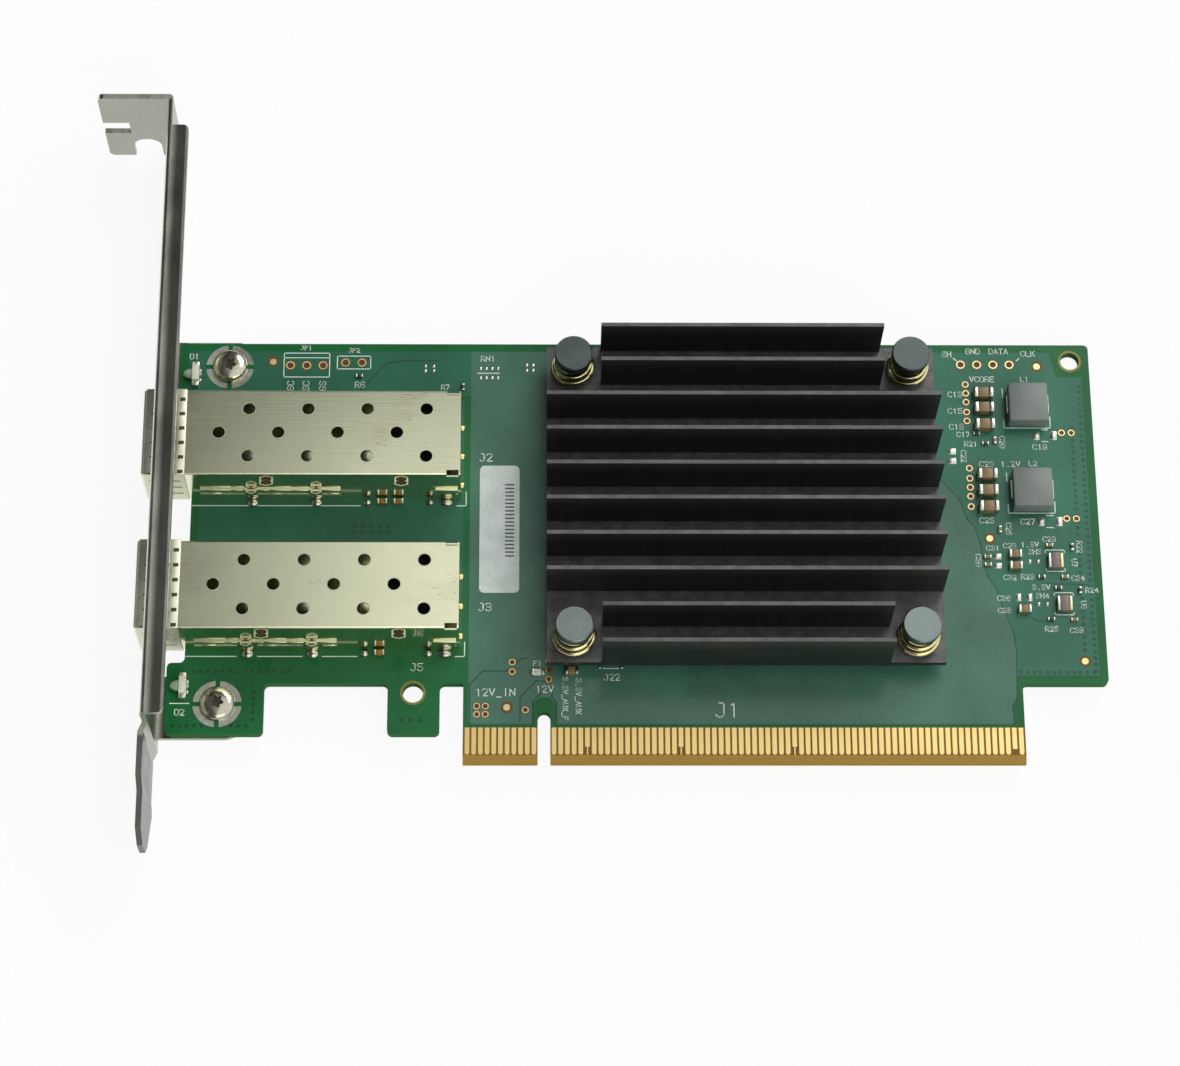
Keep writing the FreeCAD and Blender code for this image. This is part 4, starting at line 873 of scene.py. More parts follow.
@dataclass
class Board:
    """The board's copper, pads, plated holes and printing."""

    copper: float = 0.03
    print_level: float = 0.045
    thickness: float = 1.57
    rim: float = 1.3
    markings: tuple[Marking, ...] = tuple(Marking(*row) for row in (
        ("D1", -54.6, 66.7), ("JP1", -37.2, 68.2, 0.8), ("JP2", -29.7, 67.8, 0.8),
        ("SC", -39.5, 61.7, 1.1, Turn.UP), ("SC", -37.1, 61.7, 1.1, Turn.UP),
        ("GS", -34.5, 61.7, 1.1, Turn.UP), ("R6", -28.7, 61.9, 1.1), ("R7", -15.4, 61.5, 0.9),
        ("RN1", -8.8, 66.4), ("J2", -9.0, 49.6, 1.4), ("J3", -9.0, 24.9, 1.4), ("J5", -19.2, 15.2, 1.3),
        ("D2", -54.6, 8.0, 1.05), ("12V_IN", -7.3, 11.2, 1.3), ("12V", 0.1, 11.7, 1.2),
        ("F1", -1.0, 15.8, 0.9), ("J22", 10.2, 13.6, 1.1), ("3.3V_AUX_F", 3.2, 10.2, 0.88, Turn.DOWN),
        ("3.3V_AUX", 5.2, 10.55, 0.92, Turn.DOWN), ("J1", 27.5, 8.4, 2.6), ("SH", 63.0, 67.3),
        ("GND", 67.1, 67.8), ("DATA", 71.1, 67.8), ("CLK", 75.7, 67.4), ("VCORE", 68.3, 63.0),
        ("C13", 64.0, 60.4), ("C15", 63.9, 57.6), ("C18", 64.0, 54.9), ("C17", 65.0, 53.6, 0.9),
        ("R21", 66.1, 52.0, 0.9), ("C20", 71.0, 52.3, 0.9, Turn.DOWN), ("C22", 64.9, 49.9, 0.9, Turn.DOWN),
        ("C19", 76.8, 51.5), ("C23", 68.4, 48.6), ("1.2V", 72.1, 48.6), ("L1", 75.0, 63.0, 0.9),
        ("L2", 75.6, 48.7, 0.9), ("C25", 68.0, 39.2), ("C27", 74.3, 39.0), ("C26", 71.3, 37.8, 0.9, Turn.DOWN),
        ("C29", 77.4, 36.1, 0.9), ("C28", 71.3, 35.0, 0.9), ("1.8V", 74.4, 35.2, 0.9),
        ("SH3", 75.1, 34.0, 0.9), ("C31", 68.7, 34.6, 0.9), ("R22", 82.0, 34.8, 0.9, Turn.DOWN),
        ("C30", 66.4, 32.6, 0.9, Turn.DOWN), ("U7", 81.1, 32.2, 0.9, Turn.DOWN), ("C32", 71.1, 29.8, 0.9),
        ("R23", 73.8, 29.9, 0.9), ("C34", 81.5, 29.7, 0.9), ("3.3V", 75.8, 28.2, 0.9),
        ("SH4", 75.9, 26.8, 0.9), ("R24", 83.5, 27.7, 0.9), ("C36", 70.0, 26.4, 0.9), ("C38", 70.0, 24.4, 0.9),
        ("U8", 82.1, 25.3, 0.9, Turn.DOWN), ("R25", 77.0, 21.4, 0.9), ("C39", 80.8, 21.2, 0.9),
    ))
    printed_lines: tuple[tuple[Point, ...], ...] = (
        ((-40.6, 63.2), (-33.5, 63.2), (-33.5, 67.3), (-40.6, 67.3), (-40.6, 63.2)),
        ((-40.6, 66.5), (-33.5, 66.5)),
        ((-32.3, 64.6), (-27.1, 64.6), (-27.1, 66.8), (-32.3, 66.8), (-32.3, 64.6)),
        ((-54.0, 41.5), (-28.2, 41.5)), ((-13.4, 41.5), (-12.0, 41.5), (-12.0, 43.8)),
        ((-54.0, 16.9), (-46.4, 16.9)), ((-43.2, 16.9), (-36.5, 16.9)), ((-33.4, 16.9), (-28.2, 16.9)),
        ((-13.4, 16.9), (-12.0, 16.9), (-12.0, 19.2)), ((-56.1, 9.4), (-53.2, 9.4)),
        ((-10.4, 63.9), (-7.0, 63.9)), ((71.4, 56.0), (71.4, 54.7), (78.6, 54.7), (78.6, 56.6)),
        ((71.4, 59.9), (71.4, 61.4)), ((71.4, 41.8), (71.4, 40.4), (78.6, 40.4), (78.6, 42.3)),
        ((71.4, 45.6), (71.4, 47.1)), ((76.7, 31.2), (76.7, 30.8), (79.6, 30.8), (79.6, 31.2)),
        ((76.7, 33.9), (76.7, 34.3), (79.6, 34.3), (79.6, 33.9)),
        ((77.7, 24.0), (77.7, 23.7), (80.6, 23.7), (80.6, 24.0)),
        ((77.7, 26.9), (77.7, 27.3), (80.6, 27.3), (80.6, 26.9)), ((77.2, 52.4), (78.1, 52.4)),
        ((77.2, 54.4), (78.1, 54.4)), ((77.2, 38.0), (78.2, 38.0)), ((77.2, 40.0), (78.2, 40.0)),
        ((64.0, 66.6), (64.5, 66.2)), ((74.3, 66.6), (73.9, 66.2)), ((8.9, 15.0), (11.2, 15.0)),
    )
    seams: tuple[tuple[Point, ...], ...] = (
        ((60.3, 47.0), (63.9, 42.7), (65.0, 39.3), (66.2, 37.9), (66.8, 35.4), (67.6, 30.1), (69.0, 27.8),
         (69.8, 24.8), (71.2, 21.0), (71.5, 17.9), (71.2, 10.2), (70.5, 9.2), (70.6, 6.2)),
        ((-11.2, 6.2), (-11.2, 12.4), (-9.2, 14.6), (-5.6, 14.6), (-3.4, 16.6), (-2.4, 16.6)),
        ((-3.6, 6.6), (-3.6, 10.4), (-1.2, 13.0), (0.4, 13.0)),
        ((-1.7, 6.2), (-1.7, 9.6), (-0.2, 11.4), (1.0, 11.8)),
        ((1.9, 6.2), (1.9, 9.4), (1.2, 10.4), (1.2, 12.0)),
        ((-28.6, 61.0), (-24.6, 65.6), (-22.0, 66.0), (-16.4, 66.0)),
        ((73.9, 23.4), (74.6, 22.8), (76.2, 22.6)), ((76.4, 28.8), (83.0, 28.6)), ((84.0, 30.6), (84.0, 33.6)),
    )
    header_holes: tuple[Point, ...] = (
        (-39.6, 65.2), (-37.06, 65.2), (-34.52, 65.2), (-31.0, 65.7), (-28.46, 65.7), (65.1, 65.5),
        (67.64, 65.5), (70.18, 65.5), (72.72, 65.5),
    )
    ring_vias: tuple[Point, ...] = (
        (65.7, 62.1), (65.7, 60.6), (65.7, 59.1), (65.7, 57.4), (65.7, 55.9), (65.7, 47.9), (65.7, 46.2),
        (65.7, 44.7), (65.7, 43.2), (65.7, 41.5), (80.3, 53.9), (81.8, 53.9), (80.3, 39.5), (81.8, 39.5),
        (-10.1, 9.0), (-8.8, 9.0), (-10.1, 7.7), (-8.8, 7.7), (-2.8, 8.4), (-4.8, 16.0), (-4.8, 14.5),
        (0.7, 14.8), (0.7, 13.3), (0.7, 16.2),
    )
    gold_dots: tuple[Point, ...] = ((-42.3, 65.8), (77.0, 65.2), (68.3, 36.2), (81.8, 16.2), (-5.6, 8.8))
    # Centre, width and depth.
    pads: tuple[tuple[float, float, float, float], ...] = (
        (63.05, 50.7, 1.3, 1.0), (63.05, 49.1, 1.3, 1.0), (76.3, 53.4, 1.0, 1.5), (79.0, 53.4, 1.0, 1.5),
        (76.3, 39.0, 1.0, 1.5), (79.1, 39.0, 1.0, 1.5), (69.3, 33.2, 1.2, 0.9), (69.3, 31.7, 1.2, 0.9),
        (72.2, 26.5, 0.8, 1.2), (73.9, 26.5, 0.8, 1.2), (74.2, 32.4, 0.5, 0.6), (75.5, 32.4, 0.5, 0.6),
        (75.2, 25.4, 0.5, 0.6), (76.5, 25.4, 0.5, 0.6), (8.4, 15.2, 0.5, 0.5), (11.7, 15.2, 0.5, 0.5))
    fine_pads: tuple[Point, ...] = (
        (-10.0, 64.7), (-9.1, 64.7), (-8.2, 64.7), (-7.3, 64.7), (-10.0, 63.1), (-9.1, 63.1), (-8.2, 63.1),
        (-7.3, 63.1), (-2.8, 65.3), (-1.8, 65.3), (-2.8, 64.4), (-1.8, 64.4), (-18.6, 65.1), (-18.6, 64.3),
        (-17.3, 65.1), (-17.3, 64.3),
    )
    # First X and Y, step along X and Y, and how many.
    via_rows: tuple[tuple[float, float, float, float, int], ...] = (
        (83.4, 14.6, 0.0, 1.05, 46), (81.9, 18.0, 0.0, 1.05, 36), (72.0, 14.4, 1.0, 0.0, 12),
        (-42.0, 59.8, 1.3, 0.0, 22), (-29.0, 37.0, 1.25, 0.0, 5), (-29.0, 38.2, 1.25, 0.0, 5),
        (-52.7, 14.4, 3.3, 0.0, 5), (-51.6, 14.52, 3.3, 0.0, 5), (-50.5, 14.64, 3.3, 0.0, 4),
        (-55.6, 5.9, 1.1, 0.0, 11), (-43.6, 6.9, 0.0, 1.1, 5), (-21.4, 6.8, 1.4, 0.0, 3))
    # Outer and inner radius of each ring.
    stitch_ring: Point = (0.28, 0.12)
    dot_rings: tuple[Point, Point] = ((0.95, 0.5), (0.52, 0.0))
    header_rings: tuple[Point, Point] = ((0.86, 0.66), (0.7, 0.5))
    header_bore: float = 0.52
    via_rings: tuple[Point, Point] = ((0.64, 0.5), (0.53, 0.37))
    via_bore: float = 0.39
    screw_land: Point = (3.68, 1.8)
    seam_width: float = 0.16
    line_width: float = 0.14
    rim_width: float = 0.38
    land_gap: Point = (0.35, 3.72)
    fine_half: Point = (0.22, 0.25)
    # Centre and radius.
    rimmed_holes: tuple[tuple[float, float, float], ...] = ((82.2, 66.1, 1.45), (-19.7, 11.1, 1.55))

    def top(self, side: Side) -> float:
        """Return the Z of the laminate's face on a side."""
        return 0.0 if side is Side.FRONT else -self.thickness

    def layer(self, mesher: Mesher, side: Side, outline: Sequence[Point], slot: int) -> None:
        """Add one copper area on a face."""
        face = self.top(side)
        low, high = sorted((face, face + side.value * self.copper))
        mesher.plate(outline, low, high, slot)

    def build(self) -> None:
        """Dress the laminate and add every layer on it."""
        dress(MASK, "circuit_board")
        self.build_pours()
        self.build_pads()
        self.build_print()
        self.build_stitching()

    def build_pours(self) -> None:
        """Add the copper areas that show through the mask."""
        mesher = Mesher(POUR, POUR_GREY, POUR_RIGHT, SEAM)
        low, high = node_box("circuit_board")
        right, top, left = high.x - self.rim, high.y - self.rim, low.x + self.rim
        seam = self.seams[0]
        self.layer(mesher, Side.FRONT, [
            (1.8, 6.2), (1.8, 9.2), (0.8, 10.4), (-0.6, 10.4), (-1.8, 9.2), (-1.8, 6.2), (-11.4, 6.2),
            (-11.4, top), (0.6, top), (0.6, 47.0), *seam], 1)
        self.layer(mesher, Side.FRONT, [spot for spot in reversed(seam) if spot[1] > 14.0] + [
            (0.6, 47.0), (0.6, top), (78.9, top), (80.0, top - 4.2), (right, top - 4.2), (right, 13.9),
            (71.4, 13.9)], 2)
        self.layer(mesher, Side.FRONT, [
            (left, 60.0), (-12.4, 60.0), (-11.4, 60.0), (-11.4, top), (left, top)], 0)
        self.layer(mesher, Side.FRONT, [(-53.0, 18.6), (-12.4, 18.6), (-12.4, 59.4), (-53.0, 59.4)], 0)
        for line in self.seams:
            mesher.stroke(line, self.seam_width, self.copper * 0.5, self.copper + 0.004, 3)
        self.layer(mesher, Side.BACK, [
            (left, top), (left, 59.0), (-52.8, 57.0), (-52.8, 17.0), (-12.2, 14.0), (-11.0, 6.2), (-1.8, 6.2),
            (-1.8, 9.6), (1.8, 9.6), (1.8, 6.2), (70.8, 6.2), (70.8, 14.0), (right, 14.0), (right, top - 4.2),
            (80.0, top - 4.2), (78.9, top)], 0)
        mesher.finish("copper_pours", "board_laminate")

    def build_pads(self) -> None:
        """Add pads, rings, screw lands and plated holes, whose bores are discs in painted shade."""
        mesher = Mesher(TIN, PALE_GOLD, PLATED_HOLE_SHADE, LAMINATE, HOLE_RIM)
        level = self.copper + 0.01
        screws = [node_centre(f"bracket_screw_{name}") for name in PORTS]
        for x, y in self.header_holes:
            for low, high in ((0.0, level), (-self.thickness - level, -self.thickness)):
                mesher.ring(x, y, *self.header_rings[0], low, high, 3)
                mesher.ring(x, y, *self.header_rings[1], low - 0.01, high + 0.01, 1)
            # Bore disc in painted shade.
            mesher.ring(x, y, self.header_bore, 0.0, 0.0, level, 2)
        for x, y in self.ring_vias:
            mesher.ring(x, y, *self.via_rings[0], 0.0, level, 3, 16)
            mesher.ring(x, y, *self.via_rings[1], 0.0, level + 0.01, 1, 16)
            mesher.ring(x, y, self.via_bore, 0.0, 0.0, level, 2, 12)
        for x, y in self.gold_dots:
            mesher.ring(x, y, *self.dot_rings[0], 0.0, self.copper + 0.004, 3, 24)
            mesher.ring(x, y, *self.dot_rings[1], 0.0, level + 0.01, 1, 24)
        for x, y, width, depth in self.pads:
            mesher.box((x - width / 2, y - depth / 2, 0), (x + width / 2, y + depth / 2, level + 0.03), 0.03, 0)
            mesher.dome(x, y, Vector((width * 0.47, depth * 0.47, 0.16)), level, 0)
        wide, deep = self.fine_half
        for x, y in self.fine_pads:
            mesher.box((x - wide, y - deep, 0), (x + wide, y + deep, level + 0.02), 0.02, 0)
        for x, y in screws:
            mesher.ring(x, y, *self.screw_land, 0.0, level + 0.02, 0, 64)
        for x, y, radius in self.rimmed_holes:
            mesher.ring(x, y, radius + self.rim_width, radius, 0.0, level, 4, 40)
        mesher.finish("board_pads", "gold_plating", smooth=True)
        gaps = Mesher(MASK)
        for x, y in screws:
            for across, along in (self.land_gap, self.land_gap[::-1]):
                gaps.box((x - across, y - along, level), (x + across, y + along, level + 0.035))
        gaps.finish("screw_land_gaps", "board_laminate")

    def build_print(self) -> None:
        """Add the printed words and lines."""
        mesher = Mesher(INK)
        for mark in self.markings:
            mesher.word(mark.text, mark.x, mark.y, mark.height, mark.turn, self.copper)
        for line in self.printed_lines:
            mesher.stroke(line, self.line_width, self.copper, self.print_level)
        mesher.finish("board_printing", "board_laminate")

    def build_stitching(self) -> None:
        """Add the rows of small masked vias along the board's edges and between the cages."""
        mesher = Mesher(TENTED)
        level = self.copper + 0.012
        for x, y, dx, dy, count in self.via_rows:
            for index in range(count):
                mesher.ring(x + dx * index, y + dy * index, *self.stitch_ring, 0.0, level, 0, 10)
        mesher.finish("stitching_vias", "board_laminate")


@dataclass
class EdgeConnector:
    """Gold contacts with tapered lead-ins on both faces of the edge connector."""

    width: float = 0.7
    foot: float = 1.35
    crown: float = 5.6
    point: float = 0.22
    plating: float = 0.05
    thickness: float = 1.57
    groups: tuple[tuple[float, int], ...] = ((-11.5, 11), (1.5, 71))
    stemmed: tuple[float, ...] = (6.5, 20.5, 37.5)
    cut_short: tuple[float, ...] = (70.5,)
    short_rise: float = 0.9
    stem_half: float = 0.1
    stem_height: float = 1.2
    stem_rise: float = 1.1
    tip_share: float = 0.35

    def finger(self, mesher: Mesher, x: float, side: Side) -> None:
        """Add one contact.

        Args:
            mesher: The piece.
            x: Centre of the contact.
            side: Face of the board.
        """
        face = 0.0 if side is Side.FRONT else -self.thickness
        low, high = sorted((face, face + side.value * self.plating))
        half = self.width / 2
        foot = self.foot
        if side is Side.FRONT and x in self.cut_short:
            foot += self.short_rise
            mesher.plate([(x - half, foot), (x + half, foot), (x + half, self.crown), (x - half, self.crown)],
                         low, high)
            return
        if side is Side.FRONT and x in self.stemmed:
            stem, head = self.stem_half, foot + self.stem_height
            mesher.plate([(x - stem, foot), (x + stem, foot), (x + stem, head), (x - stem, head)], low, high)
            foot += self.stem_rise
        tip = half * self.tip_share
        shoulder = foot + self.point
        mesher.plate([(x - half, shoulder), (x - tip, foot), (x + tip, foot), (x + half, shoulder),
                      (x + half, self.crown), (x - half, self.crown)], low, high)

    def build(self) -> None:
        """Build the contacts of both faces."""
        for side, node in ((Side.FRONT, "edge_contacts_front"), (Side.BACK, "edge_contacts_back")):
            mesher = Mesher(GOLD)
            for start, count in self.groups:
                for index in range(count):
                    self.finger(mesher, start + index, side)
            mesher.finish(f"gold_fingers_{side.name.lower()}", "gold_plating", [node])


# ---------------------------------------------------------------- metalwork


@dataclass
class Metalwork:
    """Bracket, cages, collars, screws and the solder at the cage pins."""

    pin_spots: tuple[float, ...] = (-44.7, -34.9, -27.1, -17.5)
    solder_size: Place = (0.95, 0.72, 0.55)
    rear_share: float = 0.72
    rear_tab: float = -15.0
    back_tabs: tuple[float, ...] = (-4.8, 0.0, 4.8)
    cage_half: float = 7.1
    screw_turn: float = 0.35
    # Share of the head's radius, or the radius itself inside the recess, and the level.
    head_profile: tuple[Point, ...] = ((1.0, 0.05), (1.0, 0.42), (0.95, 0.82), (0.82, 1.12), (0.55, 1.28))
    recess_profile: tuple[Point, ...] = ((0.9, 1.3), (0.82, 0.7))
    lobe_count: int = 6
    lobe_depth: float = 0.2
    shank: Point = (1.2, 1.45)
    first_vent: float = -49.4
    vent_pitch: float = 9.0
    vent_row: float = 3.9
    vent_radius: float = 0.95
    finger_pitch: float = 2.39
    slot_half: float = 0.28
    flange_half: float = 7.2
    latch_wall: float = 6.95
    latch_out: float = 0.3
    latch_level: float = 6.8
    latch_size: Point = (1.2, 0.55)
    boss_size: Point = (0.95, 0.62)
    latches: tuple[float, ...] = (-42.2, -21.7)
    flange_bosses: tuple[Point, ...] = ((-44.7, 3.7), (-34.8, 3.6))
    # Ends along X, level and height.
    flange_bars: tuple[tuple[Point, float, float], ...] = (
        ((-52.5, -47.8), 3.86, 0.3), ((-47.8, -45.9), 3.86, 0.14), ((-43.6, -42.0), 3.8, 0.14),
        ((-42.0, -38.6), 3.84, 0.28), ((-38.6, -36.0), 3.8, 0.14), ((-33.6, -31.1), 3.82, 0.28),
        ((-51.4, -49.3), 2.5, 0.2), ((-42.2, -40.2), 2.4, 0.2), ((-33.2, -31.4), 2.5, 0.14),
        ((-17.2, -13.2), 3.9, 0.34))

    def build(self) -> None:
        """Dress the sheet metal and add the screws, solder, bright edges and collar fingers."""
        dress(BRACKET_STEEL, "slot_bracket")
        for name in PORTS:
            self.build_screw(name)
            dress(NICKEL_CAGE, f"port_cage_{name}", f"cage_floor_{name}")
            dress(NICKEL_COLLAR, f"spring_collar_{name}")
            dress(MOULDING, f"port_connector_{name}")
            dress(GOLD, f"port_contacts_{name}")
            self.build_solder(name)
            self.build_edges(name)
            self.build_fingers(name)

    def build_screw(self, name: str) -> None:
        """Replace a screw by a flatter pan head with a deep six-lobed recess whose floor is painted dark as
        painted shade.

        Args:
            name: Which screw.
        """
        low, high = node_box(f"bracket_screw_{name}")
        mesher = Mesher(SCREW_STEEL, RECESS_SHADE)
        mesh = mesher.mesh
        head = (high.x - low.x) / 2
        steps = 48
        loops = []
        outside = tuple((head * share, level) for share, level in self.head_profile)
        for radius, level in outside + self.recess_profile:
            circle = bmesh.ops.create_circle(mesh, cap_ends=False, segments=steps, radius=radius)["verts"]
            mesher.move(circle, (0, 0, level))
            if (radius, level) in self.recess_profile:
                for index, vert in enumerate(circle):
                    lobe = 1.0 + self.lobe_depth * math.cos(self.lobe_count * 2 * math.pi * index / steps)
                    vert.co.x *= lobe
                    vert.co.y *= lobe
            loops.append(list({edge for vert in circle for edge in vert.link_edges}))
        for inner, outer in zip(loops, loops[1:]):
            bmesh.ops.bridge_loops(mesh, edges=inner + outer)
        # The recess floor gets the painted shade colour.
        for loop, slot in ((loops[0], 0), (loops[-1], 1)):
            filled = bmesh.ops.edgeloop_fill(mesh, edges=loop)["faces"]
            mesher.paint(filled, slot)
        shank = bmesh.ops.create_cone(mesh, cap_ends=True, segments=24, radius1=self.shank[0],
                                      radius2=self.shank[1], depth=-low.z)["verts"]
        mesher.move(shank, (0, 0, low.z / 2 + 0.04))
        turn = Matrix.Rotation(self.screw_turn, 3, "Z")
        bmesh.ops.rotate(mesh, verts=mesh.verts, cent=(0, 0, 0), matrix=turn)
        mesher.move(mesh.verts, (*node_centre(f"bracket_screw_{name}"), 0))
        mesher.finish(f"pan_screw_{name}", "screw_steel", [f"bracket_screw_{name}"], smooth=True)

    def build_solder(self, name: str) -> None:
        """Add solder round a cage's pins.

        Args:
            name: Which port.
        """
        low, high = node_box(f"port_cage_{name}")
        mesher = Mesher(SOLDER, PALE_GOLD)
        middle = (low.y + high.y) / 2
        for side in (-1, 1):
            edge = middle + side * self.cage_half
            for index, x in enumerate(self.pin_spots):
                share = 1.0 if index < 2 else self.rear_share
                length, depth, height = self.solder_size
                mesher.dome(x, edge + side * 0.62, Vector((length * share, depth * share, height)), 0.02)
            mesher.dome(self.rear_tab, edge + side * 0.6, Vector((1.15, 0.6, 0.5)), 0.02)
        for offset in self.back_tabs:
            mesher.dome(high.x + 0.12, middle + offset, Vector((0.45, 0.6, 0.5)), 0.02, 1)
        mesher.finish(f"cage_solder_{name}", "tinned_metal", smooth=True)

    def bar(self, mesher: Mesher, ends: Point, y: float, z: float, height: float) -> None:
        """Add a thin bright bar along X, half its nominal height high, on a cage's side."""
        mesher.box((ends[0], y, z - height / 4), (ends[1], y + 0.1, z + height / 4), 0.03)

    def hexagon(self, mesher: Mesher, x: float, y: float, z: float, size: Point) -> None:
        """Add a six-sided latch tab that stands out of a cage's near side, with a raised rim and a centre
        painted dark as painted shade.

        Args:
            mesher: The piece.
            x: Centre.
            y: Centre.
            z: Level of its upper face.
            size: Half its width along X and half its depth along Y.
        """
        made = bmesh.ops.create_circle(mesher.mesh, cap_ends=True, segments=6, radius=1.0)["verts"]
        face = made[0].link_faces[0]
        inset = bmesh.ops.inset_region(mesher.mesh, faces=[face], thickness=0.22, use_boundary=True,
                                       use_even_offset=False)["faces"]
        raised = mesher.lift(inset, 0.14)
        # Painted shade: the centre gets the dark slot colour.
        mesher.paint([face], 1)
        verts = list(set(made) | set(raised) | set(face.verts))
        bmesh.ops.scale(mesher.mesh, verts=verts, vec=(size[0], size[1], 1.0))
        mesher.move(verts, (x, y, z))

    def build_edges(self, name: str) -> None:
        """Add a cage's bright cut edges: vent rims, flange bars, slit edges and boss and latch outlines, whose
        centres are painted dark as painted shade.

        Args:
            name: Which port.
        """
        low, high = node_box(f"port_cage_{name}")
        middle = (low.y + high.y) / 2
        mesher = Mesher(NICKEL_EDGE, SLOT_SHADE)
        for column in range(4):
            x = self.first_vent + self.vent_pitch * column
            step = self.vent_pitch / 2
            for dx, dy in ((0.0, 0.0), (step, self.vent_row), (step, -self.vent_row)):
                mesher.ring(x + dx, middle + dy, self.vent_radius + 0.1, self.vent_radius, high.z - 0.1,
                            high.z + 0.012, 0, 24)
        face = middle - self.flange_half
        for ends, level, height in self.flange_bars:
            self.bar(mesher, ends, face - 0.1, level, height)
        for x, level in self.flange_bosses:
            self.hexagon(mesher, x, face - 0.2, level + 0.45, self.boss_size)
        for x in self.latches:
            self.hexagon(mesher, x, middle - self.latch_wall - self.latch_out, self.latch_level, self.latch_size)
        mesher.finish(f"cage_edges_{name}", "cage_metal", smooth=True)

    def build_fingers(self, name: str) -> None:
        """Add a collar's flat finger bands at both ends, with the slots on both sides of the bracket painted
        dark as painted shade.

        Args:
            name: Which port.
        """
        low, high = node_box(f"spring_collar_{name}")
        mesher = Mesher(NICKEL_COLLAR, SLOT_SHADE, NICKEL_EDGE, SLOT_GREY)
        middle = (low.y + high.y) / 2
        for start, end in ((low.x + 0.05, low.x + 2.6), (high.x - 1.9, high.x - 0.02)):
            mesher.box((start, low.y + 0.1, high.z - 0.06), (end, high.y - 0.1, high.z + 0.03), 0.02)
        for index in range(6):
            y = middle + 0.6 + self.finger_pitch * (index - 3)
            start, end, near, far = high.x - 1.05, high.x - 0.2, y - self.slot_half, y + self.slot_half
            # Painted shade: a dark patch fills each slot inside the bracket.
            mesher.box((start, near, high.z - 0.05), (end, far, high.z + 0.04), 0.0, 1)
            mesher.box((start, near - 0.08, high.z - 0.05), (end, near, high.z + 0.06), 0.02, 2)
            if 0 < index < 5:
                # Painted shade: dark wedges and grey lines mark the slots outside the bracket.
                mesher.plate([(low.x + 0.75, y + 0.02), (low.x + 1.5, y + 0.2), (low.x + 1.5, y - 0.2),
                              (low.x + 1.1, y - 0.12)], high.z - 0.05, high.z + 0.04, 1)
                mesher.box((low.x + 1.45, y - 0.06, high.z - 0.05), (low.x + 2.6, y + 0.06, high.z + 0.04),
                           0.0, 3)
        # Painted shade: a grey strip along the collar's near side.
        mesher.box((low.x + 0.6, low.y + 0.1, high.z - 0.1), (low.x + 2.4, low.y + 0.26, high.z + 0.04), 0.0, 3)
        mesher.finish(f"collar_fingers_{name}", "collar_metal", smooth=True)


@dataclass
class Cooler:
    """Heat sink, its pins and conical springs, and the controller stack under it."""

    wire: float = 0.325
    bottom_radius: float = 3.2
    top_radius: float = 2.33
    turns: float = 3.0
    steps: int = 28
    far_side: float = 40.0

    def build(self) -> None:
        """Dress the cooler and add the springs; the pins on the far side get a darker copy of the plating as
        painted shade.
        """
        dress(SINK_BLACK, "heat_sink")
        dress(MOULDING, "controller_package")
        dress(LID_METAL, "controller_lid")
        dress(PAD_GREY, "thermal_pad")
        for number in range(1, 5):
            name = f"retaining_pin_{number}"
            # Far pins get the painted shade copy.
            dress(PIN_IN_PAINTED_SHADE if node_centre(name)[1] > self.far_side else PIN_GREY, name)
            self.build_spring(number)

    def build_spring(self, number: int) -> None:
        """Build one conical spring by spinning its wire's circle.

        Args:
            number: Which pin.
        """
        low, high = node_box(f"pin_spring_{number}")
        bottom, top = self.bottom_radius, self.top_radius
        rise = high.z - low.z - self.wire * 2
        mesher = Mesher(SPRING_WIRE)
        circle = bmesh.ops.create_circle(mesher.mesh, cap_ends=False, segments=10, radius=self.wire,
                                         matrix=Matrix.Rotation(math.pi / 2, 4, "X"))["verts"]
        mesher.move(circle, (bottom, 0, low.z + self.wire))
        edges = list({edge for vert in circle for edge in vert.link_edges})
        total = round(self.turns * self.steps)
        bmesh.ops.spin(mesher.mesh, geom=circle + edges, cent=(0, 0, 0), axis=(0, 0, 1),
                       dvec=(0, 0, rise / total), angle=self.turns * 2 * math.pi, steps=total)
        for vert in mesher.mesh.verts:
            share = min(max((vert.co.z - low.z - self.wire) / rise, 0.0), 1.0)
            flat = Vector((vert.co.x, vert.co.y))
            flat = flat.normalized() * (flat.length - (bottom - top) * share)
            vert.co.x, vert.co.y = flat.x, flat.y
        ends = [edge for edge in mesher.mesh.edges if edge.is_boundary]
        bmesh.ops.holes_fill(mesher.mesh, edges=ends, sides=0)
        mesher.move(mesher.mesh.verts, (*node_centre(f"retaining_pin_{number}"), 0))
        mesher.finish(f"spring_coil_{number}", "spring_metal", [f"pin_spring_{number}"], smooth=True)


# ---------------------------------------------------------------- small parts


